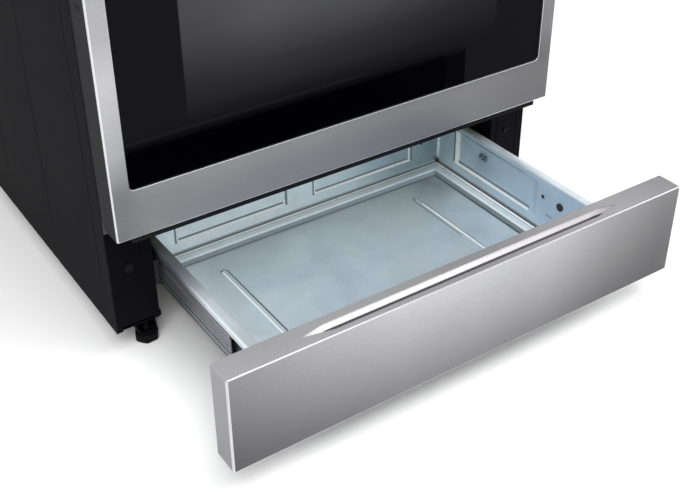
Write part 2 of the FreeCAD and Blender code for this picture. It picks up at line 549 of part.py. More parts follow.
def grate(sx):
    z0, zf, z1 = DECK_TOP + 0.4, DECK_TOP + 22, DECK_TOP + 34
    zg = DECK_TOP + 26
    b = [box(-372, -360, 12, 578, zf, z1), box(-16, -4, 12, 578, zf, z1),
         box(-372, -4, 12, 24, zf, z1), box(-372, -4, 566, 578, zf, z1), box(-372, -4, 289, 301, zf, z1)]
    for cx, cy in ((-190, 150), (-190, 440)):
        b += [box(-366, cx - 26, cy - 5, cy + 5, zg, z1), box(cx + 26, -10, cy - 5, cy + 5, zg, z1)]
        lo = 18 if cy < 290 else 295
        hi = 295 if cy < 290 else 572
        b += [box(cx - 5, cx + 5, lo, cy - 26, zg, z1), box(cx - 5, cx + 5, cy + 26, hi, zg, z1)]
        b += [box(cx - 98, cx - 88, lo, hi, zg, z1), box(cx + 88, cx + 98, lo, hi, zg, z1)]
    for x in (-372, -16):
        for y in (12, 289, 566):
            b.append(box(x, x + 12, y, y + 12, z0, zf + 1))
    g = fuse(b)
    return g if sx < 0 else mirror(g)


save("grate_left", grate(-1))
save("grate_right", grate(1))

# ------------------------------------------------------------------ backguard
bo = [(590, 865), (590, 950), (604, 1156), (612, GUARD_TOP), (650, GUARD_TOP), (650, 865)]
bi = [(591.6, 864), (591.6, 950), (605.6, 1155.4), (612.8, GUARD_TOP - 1.6), (648.4, GUARD_TOP - 1.6), (648.4, 864)]
guard = cut(prism_x(bo, -HALF_W, HALF_W), [prism_x(bi, -HALF_W + 1.6, HALF_W - 1.6)])
guard = cut(guard, [box(-300 + 62 * i, -260 + 62 * i, 580, 595, 905, 911) for i in range(10)])
save("backguard_shell", guard)
gt = atan2(14.0, 206.0)
disp = Part.makeBox(330, 3.0, 96, V(-165, -3.2, 40))
disp = disp.makeFillet(2.0, [e for e in disp.Edges if abs(e.Vertexes[0].Y - e.Vertexes[1].Y) > 2])
disp.rotate(V(0, 0, 0), V(1, 0, 0), -degrees(gt))
disp.translate(V(0, 590 + YF, 950))
save("backguard_display", disp)

# ------------------------------------------------------- gas and power inlets
reg = fuse([box(-275, -225, 596, 640, 85, 135), cyl(-250, 618, 135, 20, 22, (0, 0, 1)),
            cyl(-250, 638, 110, 16, 10, (0, 1, 0))])
reg = cut(reg, [cyl(-250, 628, 110, 10.4, 22, (0, 1, 0))])
save("gas_regulator", reg)
TX, TY = -358.0, 618.0
tube = fuse([
    cyl(TX, TY, 110, 7, -TX - 275, (1, 0, 0)), Part.makeSphere(7, V(TX, TY + YF, 110)),
    cyl(TX, TY, 110, 7, MAN_Z - 110, (0, 0, 1)), Part.makeSphere(7, V(TX, TY + YF, MAN_Z)),
    cyl(TX, TY, MAN_Z, 7, TY - MAN_Y, (0, -1, 0)), Part.makeSphere(7, V(TX, MAN_Y + YF, MAN_Z)),
    cyl(TX, MAN_Y, MAN_Z, 7, -TX - 335, (1, 0, 0)),
])
save("gas_supply_tube", tube)
inlet = cut(box(226, 274, 610, 649.5, 93, 127), [box(232, 268, 634, 652, 99, 121)])
inlet = fuse([inlet] + [box(250 + dx - 1, 250 + dx + 1, 630, 646, 107, 113) for dx in (-10, 0, 10)])
save("power_inlet", inlet)
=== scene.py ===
import bpy, bmesh, json, math, random
from mathutils import Vector, Matrix


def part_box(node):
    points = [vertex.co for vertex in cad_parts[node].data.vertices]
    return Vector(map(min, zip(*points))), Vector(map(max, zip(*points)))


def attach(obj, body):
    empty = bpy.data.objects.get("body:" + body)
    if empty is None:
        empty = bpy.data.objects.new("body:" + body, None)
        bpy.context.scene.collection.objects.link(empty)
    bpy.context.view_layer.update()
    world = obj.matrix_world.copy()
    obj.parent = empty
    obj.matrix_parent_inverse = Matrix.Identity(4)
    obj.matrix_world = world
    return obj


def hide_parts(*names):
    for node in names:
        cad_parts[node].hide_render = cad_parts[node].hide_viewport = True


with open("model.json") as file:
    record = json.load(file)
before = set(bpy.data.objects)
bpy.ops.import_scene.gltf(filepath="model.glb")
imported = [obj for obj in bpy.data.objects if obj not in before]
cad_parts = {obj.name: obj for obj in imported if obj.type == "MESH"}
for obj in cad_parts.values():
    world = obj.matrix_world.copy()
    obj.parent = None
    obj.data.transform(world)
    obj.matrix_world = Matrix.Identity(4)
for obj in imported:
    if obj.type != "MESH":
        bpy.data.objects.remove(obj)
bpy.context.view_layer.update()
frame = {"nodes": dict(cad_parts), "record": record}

random.seed(7)
COL = bpy.context.scene.collection
NODES = frame["nodes"]
YF = -0.180          # row depth of the oven door's outer face


# ================================================================= materials
class Mat:
    """A small builder for node materials, in object space, sizes in metres."""

    def __init__(self, name):
        self.m = bpy.data.materials.new(name)
        self.m.use_nodes = True
        self.nt = self.m.node_tree
        self.b = next(n for n in self.nt.nodes if n.type == "BSDF_PRINCIPLED")
        self.out = next(n for n in self.nt.nodes if n.type == "OUTPUT_MATERIAL")
        self.tc = self.nt.nodes.new("ShaderNodeTexCoord")
        self.geo = None

    def set(self, **kw):
        names = {"rough": "Roughness", "metal": "Metallic", "ior": "IOR", "coat": "Coat Weight",
                 "coat_rough": "Coat Roughness", "aniso": "Anisotropic", "trans": "Transmission Weight",
                 "alpha": "Alpha", "spec": "Specular IOR Level", "sheen": "Sheen Weight",
                 "aniso_rot": "Anisotropic Rotation"}
        for k, v in kw.items():
            self.b.inputs[names[k]].default_value = v
        return self

    def link(self, a, b):
        self.nt.links.new(a, b)

    def mapping(self, scale, loc=(0, 0, 0), rot=(0, 0, 0)):
        n = self.nt.nodes.new("ShaderNodeMapping")
        n.inputs["Scale"].default_value = scale
        n.inputs["Location"].default_value = loc
        n.inputs["Rotation"].default_value = rot
        self.link(self.tc.outputs["Object"], n.inputs["Vector"])
        return n.outputs["Vector"]

    def noise(self, scale=(1, 1, 1), detail=4.0, rough=0.55, distort=0.0, loc=(0, 0, 0)):
        n = self.nt.nodes.new("ShaderNodeTexNoise")
        n.inputs["Scale"].default_value = 1.0
        n.inputs["Detail"].default_value = detail
        n.inputs["Roughness"].default_value = rough
        n.inputs["Distortion"].default_value = distort
        self.link(self.mapping(scale, loc), n.inputs["Vector"])
        return n.outputs["Fac"]

    def voronoi(self, scale, feature="F1", rand=1.0, out="Distance"):
        n = self.nt.nodes.new("ShaderNodeTexVoronoi")
        n.feature = feature
        n.inputs["Scale"].default_value = 1.0
        n.inputs["Randomness"].default_value = rand
        self.link(self.mapping(scale), n.inputs["Vector"])
        return n.outputs[out]

    def axis(self, i):
        s = self.nt.nodes.new("ShaderNodeSeparateXYZ")
        self.link(self.tc.outputs["Object"], s.inputs[0])
        return s.outputs[i]

    def ramp(self, fac, stops):
        r = self.nt.nodes.new("ShaderNodeValToRGB")
        e = r.color_ramp.elements
        while len(e) < len(stops):
            e.new(0.5)
        for el, (p, c) in zip(e, stops):
            el.position = p
            el.color = (c, c, c, 1) if not hasattr(c, "__len__") else (*c, 1)
        self.link(fac, r.inputs["Fac"])
        return r.outputs["Color"]

    def math(self, op, a, b=None, clamp=False):
        n = self.nt.nodes.new("ShaderNodeMath")
        n.operation = op
        n.use_clamp = clamp
        for i, v in enumerate((a, b)):
            if v is None:
                continue
            if isinstance(v, (int, float)):
                n.inputs[i].default_value = v
            else:
                self.link(v, n.inputs[i])
        return n.outputs[0]

    def maprange(self, v, a, b, c, d, smooth=False):
        n = self.nt.nodes.new("ShaderNodeMapRange")
        if smooth:
            n.interpolation_type = "SMOOTHSTEP"
        for i, x in enumerate((a, b, c, d)):
            n.inputs[i + 1].default_value = x
        self.link(v, n.inputs[0])
        return n.outputs[0]

    def mix(self, fac, a, b, kind="MIX"):
        n = self.nt.nodes.new("ShaderNodeMix")
        n.data_type = "RGBA"
        n.blend_type = kind
        n.clamp_factor = True
        if isinstance(fac, (int, float)):
            n.inputs[0].default_value = fac
        else:
            self.link(fac, n.inputs[0])
        for i, v in ((6, a), (7, b)):
            if hasattr(v, "__len__"):
                n.inputs[i].default_value = (*v, 1) if len(v) == 3 else v
            else:
                self.link(v, n.inputs[i])
        return n.outputs[2]

    def color(self, v):
        if hasattr(v, "__len__"):
            self.b.inputs["Base Color"].default_value = (*v, 1)
        else:
            self.link(v, self.b.inputs["Base Color"])
        return self

    def rough(self, v):
        self.link(v, self.b.inputs["Roughness"])
        return self

    def bump(self, height, strength=0.2, distance=0.001):
        n = self.nt.nodes.new("ShaderNodeBump")
        n.inputs["Strength"].default_value = strength
        n.inputs["Distance"].default_value = distance
        if self.b.inputs["Normal"].is_linked:
            prev = self.b.inputs["Normal"].links[0].from_socket
            self.link(prev, n.inputs["Normal"])
        self.link(height, n.inputs["Height"])
        self.link(n.outputs["Normal"], self.b.inputs["Normal"])
        return self


def stainless(name, grain="X", lo=0.50, hi=0.66, rough=0.30, tint=(1.0, 1.0, 1.01), fine=0.5):
    m = Mat(name)
    long_, mid_, short_ = 5.0, 260.0, 1500.0
    if grain == "X":
        s1, s2 = (long_, short_, short_), (long_ * 0.5, mid_, mid_)
    elif grain == "Z":
        s1, s2 = (short_, short_, long_), (mid_, mid_, long_ * 0.5)
    else:
        s1, s2 = (short_, long_, short_), (mid_, long_ * 0.5, mid_)
    a = m.noise(s1, detail=3, rough=0.7)
    b = m.noise(s2, detail=3, rough=0.6, loc=(3.1, 1.7, 0.4))
    c = m.noise((2.2, 2.2, 2.2), detail=2, rough=0.5)
    h = m.math("ADD", m.math("MULTIPLY", a, fine), m.math("MULTIPLY", b, 1.0 - fine))
    v = m.math("ADD", m.math("MULTIPLY", h, 0.8), m.math("MULTIPLY", c, 0.2))
    m.color(m.ramp(v, [(0.30, [lo * t for t in tint]), (0.70, [hi * t for t in tint])]))
    m.rough(m.maprange(h, 0.3, 0.7, rough - 0.06, rough + 0.10))
    m.set(metal=1.0)
    m.bump(a, 0.10, 0.0002)
    return m.m


def galvanised(name, base=(0.60, 0.66, 0.69), rough=0.36, metal=0.9):
    m = Mat(name)
    cells = m.voronoi((62, 62, 62), out="Color")
    sep = m.nt.nodes.new("ShaderNodeSeparateColor")
    m.link(cells, sep.inputs[0])
    sp = sep.outputs[0]
    sp2 = sep.outputs[1]
    cloud = m.noise((5.5, 5.5, 5.5), detail=4, rough=0.6)
    fine = m.noise((420, 420, 420), detail=2, rough=0.6)
    v = m.math("ADD", m.math("MULTIPLY", sp, 0.07), m.math("MULTIPLY", cloud, 0.93))
    lo = [c * 0.90 for c in base]
    hi = [min(1.0, c * 1.10) for c in base]
    col = m.ramp(v, [(0.28, lo), (0.62, hi)])
    # faint passivation hue drifting between bluish and greenish
    hue = m.noise((9, 9, 9), detail=3, rough=0.5, loc=(4, 2, 7))
    col = m.mix(m.math("MULTIPLY", m.maprange(hue, 0.48, 0.66, 0.0, 1.0, True), 0.35), col,
                (base[0] * 0.93, base[1] * 0.96, base[2] * 0.90))
    m.color(col)
    m.rough(m.maprange(m.math("ADD", m.math("MULTIPLY", sp2, 0.35), m.math("MULTIPLY", fine, 0.65)),
                       0.2, 0.8, rough - 0.05, rough + 0.07))
    m.set(metal=metal)
    m.bump(fine, 0.06, 0.0003)
    m.bump(cloud, 0.10, 0.002)
    return m.m


def paint(name, base, rough=0.38, peel=0.05, spec=0.5, var=0.15, scale=700.0):
    m = Mat(name)
    n = m.noise((scale, scale, scale), detail=2, rough=0.5)
    c = m.noise((6, 6, 6), detail=3, rough=0.6)
    v = m.math("ADD", m.math("MULTIPLY", n, 0.4), m.math("MULTIPLY", c, 0.6))
    m.color(m.ramp(v, [(0.3, [x * (1 - var) for x in base]), (0.7, [x * (1 + var) for x in base])]))
    m.rough(m.maprange(c, 0.3, 0.7, rough - 0.05, rough + 0.06))
    m.set(spec=spec)
    m.bump(n, peel, 0.0005)
    return m.m


def enamel(name, base=(0.012, 0.012, 0.014), rough=0.10):
    m = Mat(name)
    c = m.noise((35, 35, 35), detail=3, rough=0.5)
    speck = m.voronoi((900, 900, 900))
    sp = m.maprange(speck, 0.05, 0.16, 1.0, 0.0)
    m.color(m.mix(m.math("MULTIPLY", sp, 0.25), base, (0.20, 0.20, 0.22)))
    m.rough(m.maprange(c, 0.3, 0.7, rough - 0.03, rough + 0.05))
    m.bump(c, 0.05, 0.002)
    m.set(coat=0.4, coat_rough=0.06)
    return m.m


def cast_iron(name):
    m = Mat(name)
    n = m.noise((520, 520, 520), detail=4, rough=0.65)
    p = m.voronoi((260, 260, 260))
    c = m.noise((14, 14, 14), detail=3, rough=0.6)
    m.color(m.ramp(m.math("ADD", m.math("MULTIPLY", n, 0.5), m.math("MULTIPLY", c, 0.5)),
                   [(0.3, (0.012, 0.012, 0.013)), (0.7, (0.036, 0.035, 0.035))]))
    m.rough(m.maprange(n, 0.3, 0.7, 0.48, 0.66))
    m.bump(n, 0.25, 0.0008)
    m.bump(p, 0.10, 0.001)
    return m.m


def plain_metal(name, base, rough=0.3, scale=300.0, metal=1.0, var=0.12, bump=0.05):
    m = Mat(name)
    n = m.noise((scale, scale, scale), detail=3, rough=0.6)
    c = m.noise((12, 12, 12), detail=3, rough=0.6)
    m.color(m.ramp(m.math("ADD", m.math("MULTIPLY", n, 0.4), m.math("MULTIPLY", c, 0.6)),
                   [(0.3, [x * (1 - var) for x in base]), (0.7, [min(1, x * (1 + var)) for x in base])]))
    m.rough(m.maprange(n, 0.3, 0.7, rough - 0.05, rough + 0.08))
    m.set(metal=metal)
    m.bump(n, bump, 0.0005)
    return m.m


def drawn_metal(name, base, rough=0.36, metal=0.85):
    """Rolled zinc-plated section: faint streaks along its length."""
    m = Mat(name)
    n = m.noise((170.0, 3.0, 170.0), detail=2, rough=0.5)
    c = m.noise((14.0, 14.0, 14.0), detail=3, rough=0.6)
    v = m.math("ADD", m.math("MULTIPLY", n, 0.55), m.math("MULTIPLY", c, 0.45))
    m.color(m.ramp(v, [(0.3, [x * 0.78 for x in base]), (0.7, [min(1, x * 1.22) for x in base])]))
    m.rough(m.maprange(n, 0.3, 0.7, rough - 0.05, rough + 0.08))
    m.set(metal=metal)
    m.bump(n, 0.02, 0.0003)
    return m.m


def plastic(name, base, rough=0.35, scale=900.0, var=0.08, coat=0.0):
    m = Mat(name)
    n = m.noise((scale, scale, scale), detail=2, rough=0.5)
    c = m.noise((9, 9, 9), detail=3, rough=0.5)
    m.color(m.ramp(m.math("ADD", m.math("MULTIPLY", n, 0.5), m.math("MULTIPLY", c, 0.5)),
                   [(0.3, [x * (1 - var) for x in base]), (0.7, [min(1, x * (1 + var)) for x in base])]))
    m.rough(m.maprange(n, 0.3, 0.7, rough - 0.04, rough + 0.06))
    m.set(coat=coat)
    m.bump(n, 0.08, 0.0003)
    return m.m


def rope(name):
    m = Mat(name)
    n = m.noise((700, 700, 700), detail=4, rough=0.7)
    w = m.voronoi((450, 450, 450))
    m.color(m.ramp(n, [(0.3, (0.05, 0.05, 0.05)), (0.7, (0.20, 0.20, 0.20))]))
    m.set(rough=0.85, sheen=0.3)
    m.bump(w, 0.5, 0.001)
    return m.m


def wool(name):
    m = Mat(name)
    n = m.noise((90, 90, 90), detail=6, rough=0.75, distort=1.5)
    m.color(m.ramp(n, [(0.3, (0.55, 0.46, 0.22)), (0.7, (0.86, 0.78, 0.52))]))
    m.set(rough=0.95)
    m.bump(n, 0.8, 0.003)
    return m.m


def dark_glass(name):
    """Tinted door glass, opaque: printed black border; the lighter middle is painted, a view of the lit oven and soft
    reflections fixed on the glass.
    """
    m = Mat(name)
    x, z = m.axis(0), m.axis(2)
    inx = m.math("MULTIPLY", m.maprange(x, -0.2600, -0.2575, 0, 1, True), m.maprange(x, 0.2575, 0.2600, 1, 0, True))
    inz = m.math("MULTIPLY", m.maprange(z, 0.366, 0.400, 0, 1, True), m.maprange(z, 0.646, 0.651, 1, 0, True))
    win = m.math("MULTIPLY", inx, inz)
    cloud = m.noise((3, 3, 5), detail=3, rough=0.5)
    # painted view and reflection: a pale upper band fading down and darker to the right, painted on the opaque glass as
    # the lit oven wall seen through the tint
    up = m.ramp(m.maprange(z, 0.36, 0.66, 0.0, 1.0, True), [(0.0, 0.07), (0.13, 0.27), (0.27, 0.60), (0.40, 0.86), (0.60, 1.0), (1.0, 0.80)])
    rt = m.maprange(x, -0.02, 0.26, 1.0, 0.42, True)
    lf = m.maprange(x, -0.262, -0.12, 0.66, 1.0, True)
    g = m.math("MULTIPLY", win, m.math("MULTIPLY", m.math("MULTIPLY", up, m.math("MULTIPLY", rt, lf)), m.maprange(cloud, 0.3, 0.7, 0.88, 1.12)))
    # painted glint: a faint light line along the window's lower edge, on the left half
    painted_glint_line = m.math("MULTIPLY", m.maprange(m.math("ABSOLUTE", m.math("SUBTRACT", z, 0.3655)), 0.0, 0.0035, 1.0, 0.0, True),
                    m.maprange(x, 0.00, 0.05, 1.0, 0.0, True))
    edge = m.math("MULTIPLY", m.maprange(z, 0.350, 0.368, 0.0, 1.0, True), 1.0)
    edge = m.math("MAXIMUM", edge, m.maprange(x, 0.203, 0.206, 0.0, 1.0, True))
    border = m.mix(edge, (0.0003, 0.0002, 0.0012), (0.0052, 0.0052, 0.0064))
    border = m.mix(m.math("MULTIPLY", painted_glint_line, 0.30), border, (0.016, 0.016, 0.018))
    m.color(m.mix(g, border, (0.060, 0.060, 0.063)))
    dust = m.noise((60, 60, 60), detail=3, rough=0.6)
    m.rough(m.maprange(dust, 0.3, 0.75, 0.025, 0.06))
    m.set(ior=1.45, spec=0.012)
    return m.m


def clear_glass(name, base=(0.75, 0.82, 0.80), rough=0.04, trans=0.92):
    m = Mat(name)
    n = m.noise((40, 40, 40), detail=2, rough=0.5)
    m.color(m.ramp(n, [(0.3, [c * 0.95 for c in base]), (0.7, base)]))
    m.rough(m.maprange(n, 0.3, 0.7, rough, rough + 0.03))
    m.set(trans=trans, ior=1.47)
    return m.m


def display_mat(name):
    m = Mat(name)
    n = m.noise((25, 25, 25), detail=3, rough=0.5)
    m.color(m.ramp(n, [(0.3, (0.004, 0.004, 0.005)), (0.7, (0.009, 0.009, 0.011))]))
    m.rough(m.maprange(n, 0.3, 0.7, 0.04, 0.08))
    m.set(coat=0.5, coat_rough=0.03)
    return m.m


def panel_steel(name, which):
    """Brushed stainless panel; its colour carries painted reflection: soft light and dark bands fixed along its length
    and height.
    """
    m = Mat(name)
    x, z = m.axis(0), m.axis(2)
    grain = m.noise((40.0, 900.0, 900.0), detail=3, rough=0.75)
    mid = m.noise((260.0, 420.0, 420.0), detail=4, rough=0.7, loc=(3.1, 1.7, 0.4))
    cloud = m.noise((3.4, 3.4, 5.5), detail=3, rough=0.5, loc=(1.3, 0.2, 2.2))
    h = m.math("ADD", m.math("MULTIPLY", grain, 0.5), m.math("MULTIPLY", mid, 0.5))
    # painted reflection: the ramps below lighten and darken the steel where it mirrors bright and dark surroundings
    if which == "drawer":
        bx = m.ramp(m.maprange(x, -0.38, 0.38, 0.0, 1.0),
                    [(0.0, 0.128), (0.18, 0.205), (0.34, 0.272), (0.50, 0.290), (0.66, 0.262), (0.82, 0.165), (1.0, 0.092)])
        vz = m.maprange(z, 0.056, 0.203, 0.60, 1.50)
        painted_reflection = m.math("MULTIPLY", bx, vz)
        metal, r0 = 0.88, 0.34
    elif which == "door":
        rail = m.ramp(m.maprange(x, -0.38, 0.38, 0.0, 1.0),
                      [(0.0, 0.17), (0.07, 0.235), (0.17, 0.262), (0.40, 0.255), (0.62, 0.205), (0.78, 0.170), (0.90, 0.125), (1.0, 0.112)])
        stile = m.ramp(m.maprange(z, 0.23, 0.77, 0.0, 1.0),
                       [(0.0, 0.17), (0.12, 0.20), (0.24, 0.36), (0.42, 0.39), (0.54, 0.30), (0.75, 0.28), (1.0, 0.30)])
        sidef = m.maprange(x, -0.1, 0.1, 1.0, 0.42, True)
        painted_reflection = m.mix(m.maprange(z, 0.285, 0.325, 0.0, 1.0, True), rail, m.math("MULTIPLY", stile, sidef))
        top = m.maprange(z, 0.69, 0.71, 0.0, 1.0, True)
        painted_reflection = m.mix(top, painted_reflection, m.ramp(m.maprange(x, -0.38, 0.38, 0.0, 1.0), [(0.0, 0.26), (0.4, 0.34), (1.0, 0.20)]))
        metal, r0 = 0.45, 0.38
    elif which == "top":
        painted_reflection = m.ramp(m.maprange(x, -0.38, 0.38, 0.0, 1.0), [(0.0, 0.335), (0.25, 0.33), (0.5, 0.27), (0.85, 0.31), (1.0, 0.22)])
        metal, r0 = 0.35, 0.45
    else:
        painted_reflection = m.ramp(m.maprange(z, 0.05, 0.21, 0.0, 1.0), [(0.0, 0.21), (1.0, 0.275)])
        metal, r0 = 0.7, 0.40
    warm = m.mix(m.maprange(cloud, 0.35, 0.65, 0.0, 1.0, True), (0.985, 0.985, 1.03), (1.0, 0.995, 1.02))
    g = m.maprange(h, 0.30, 0.70, 0.90, 1.10)
    c = m.maprange(cloud, 0.3, 0.7, 0.95, 1.05)
    gc = m.math("MULTIPLY", g, c)
    comb = m.nt.nodes.new("ShaderNodeCombineColor")
    for i in range(3):
        m.link(gc, comb.inputs[i])
    if which in ("drawer",):
        cb = m.nt.nodes.new("ShaderNodeCombineColor")
        for i in range(3):
            m.link(painted_reflection, cb.inputs[i])
        painted_reflection = cb.outputs[0]
    col = m.mix(1.0, painted_reflection, comb.outputs[0], "MULTIPLY")
    col = m.mix(1.0, col, warm, "MULTIPLY")
    m.color(col)
    m.rough(m.maprange(h, 0.3, 0.7, r0 - 0.05, r0 + 0.09))
    m.set(metal=metal, spec=0.3)
    m.bump(grain, 0.10, 0.0002)
    return m.m


def pan_zinc(name, part="floor"):
    """Bright zinc-coated sheet: bluish, faint soft spangle, with painted light and shade: lighter where it faces the
    light, darker where it lies in shade.
    """
    m = Mat(name)
    x, y, z = m.axis(0), m.axis(1), m.axis(2)
    c1 = m.noise((9.0, 9.0, 9.0), detail=3, rough=0.55, distort=0.6)
    c2 = m.noise((26.0, 26.0, 26.0), detail=3, rough=0.6, loc=(4.0, 1.0, 2.0))
    sp = m.noise((210.0, 210.0, 210.0), detail=2, rough=0.5)
    fine = m.noise((900.0, 900.0, 900.0), detail=2, rough=0.6)
    v = m.math("ADD", m.math("MULTIPLY", c1, 0.55), m.math("ADD", m.math("MULTIPLY", c2, 0.30), m.math("MULTIPLY", sp, 0.15)))
    if part == "floor":
        # painted shade and light: the floor darker towards the back, lighter and bluer towards the front
        ty = m.maprange(y, -0.42, -0.04, 1.0, 0.0)
        base = m.ramp(ty, [(0.0, (0.52, 0.60, 0.64)), (0.30, (0.47, 0.575, 0.665)), (0.70, (0.56, 0.665, 0.78)), (1.0, (0.61, 0.71, 0.83))])
        # painted highlight along the left edge of the floor
        painted_highlight_left = m.maprange(x, -0.262, -0.19, 1.0, 0.0, True)
        base = m.mix(m.math("MULTIPLY", painted_highlight_left, 0.75), base, (0.88, 0.94, 0.96))
        # painted clouded reflection across the sheet
        cl = m.noise((4.0, 9.0, 9.0), detail=1, rough=0.4)
        base = m.mix(m.maprange(cl, 0.50, 0.70, 0.0, 0.30, True), base, (0.40, 0.475, 0.50))
        base = m.mix(m.maprange(cl, 0.46, 0.30, 0.0, 0.25, True), base, (0.74, 0.83, 0.88))
        # painted shade in the right rear corner of the floor
        rx = m.math("MULTIPLY", m.maprange(x, 0.17, 0.25, 0.0, 1.0, True), m.maprange(y, -0.14, -0.07, 0.0, 1.0, True))
        base = m.mix(m.math("MULTIPLY", rx, 0.75), base, (0.30, 0.36, 0.40))
    elif part == "rim":
        # painted reflection: the left rim darkened midway along, where it mirrors the black side and door
        painted_dark_reflection = m.math("MULTIPLY", m.math("MULTIPLY", m.maprange(y, -0.275, -0.165, 0.0, 1.0, True), m.maprange(y, -0.075, -0.035, 1.0, 0.0, True)),
                    m.maprange(x, -0.1, 0.0, 1.0, 0.0, True))
        base = m.mix(painted_dark_reflection, (0.74, 0.82, 0.87), (0.17, 0.195, 0.225))
    elif part == "back":
        # painted light and shade: the back wall bright at the left, falling to dark at the right
        tx = m.maprange(x, -0.29, 0.29, 0.0, 1.0)
        base = m.ramp(tx, [(0.0, (0.55, 0.65, 0.72)), (0.10, (0.93, 0.99, 1.0)), (0.45, (0.90, 0.97, 1.0)), (0.66, (0.72, 0.83, 0.88)),
                           (0.82, (0.42, 0.51, 0.56)), (1.0, (0.26, 0.33, 0.36))])
    else:
        # painted light and shade along the side walls, changing from front to back
        ty = m.maprange(y, -0.42, -0.02, 1.0, 0.0)
        base = m.ramp(ty, [(0.0, (0.66, 0.78, 0.82)), (0.14, (0.60, 0.72, 0.78)), (0.28, (0.46, 0.57, 0.66)), (0.45, (0.55, 0.68, 0.80)), (1.0, (0.62, 0.75, 0.88))])
    shade = m.maprange(v, 0.32, 0.68, 0.86, 1.14)
    comb = m.nt.nodes.new("ShaderNodeCombineColor")
    for i in range(3):
        m.link(shade, comb.inputs[i])
    col = m.mix(1.0, base, comb.outputs[0], "MULTIPLY")
    # faint grey-green bloom in patches
    col = m.mix(m.math("MULTIPLY", m.maprange(c1, 0.52, 0.66, 0.0, 1.0, True), 0.30), col, (0.52, 0.58, 0.55))
    m.color(col)
    m.rough(m.maprange(m.math("ADD", m.math("MULTIPLY", sp, 0.5), m.math("MULTIPLY", fine, 0.5)), 0.3, 0.7, 0.27, 0.40))
    m.set(metal={"floor": 0.40, "back": 0.42, "rim": 0.60}.get(part, 0.50), spec=0.5)
    m.bump(m.math("ADD", c2, m.math("MULTIPLY", fine, 0.3)), 0.10, 0.0006)
    return m.m


def scoop_mat(name):
    m = Mat(name)
    x = m.axis(0)
    n = m.noise((700, 700, 700), detail=2, rough=0.5)
    c = m.noise((12, 12, 12), detail=3, rough=0.5)
    # painted reflection: the trough pale at the left, falling to grey at the right
    painted_reflection = m.ramp(m.maprange(x, -0.27, 0.27, 0.0, 1.0),
                  [(0.0, (0.82, 0.83, 0.84)), (0.50, (0.72, 0.71, 0.73)), (0.80, (0.52, 0.50, 0.53)), (1.0, (0.40, 0.385, 0.41))])
    z = m.axis(2)
    col = m.mix(m.math("MULTIPLY", m.maprange(c, 0.35, 0.65, 0, 1), 0.25), painted_reflection, (0.62, 0.61, 0.64))
    # the foot of the trough, under the steel lip, falls into shadow
    m.color(m.mix(m.maprange(z, 0.1954, 0.1962, 0.0, 1.0, True), (0.055, 0.05, 0.06), col))
    m.rough(m.maprange(n, 0.3, 0.7, 0.22, 0.32))
    m.set(metal=0.15)
    m.bump(n, 0.05, 0.0002)
    return m.m


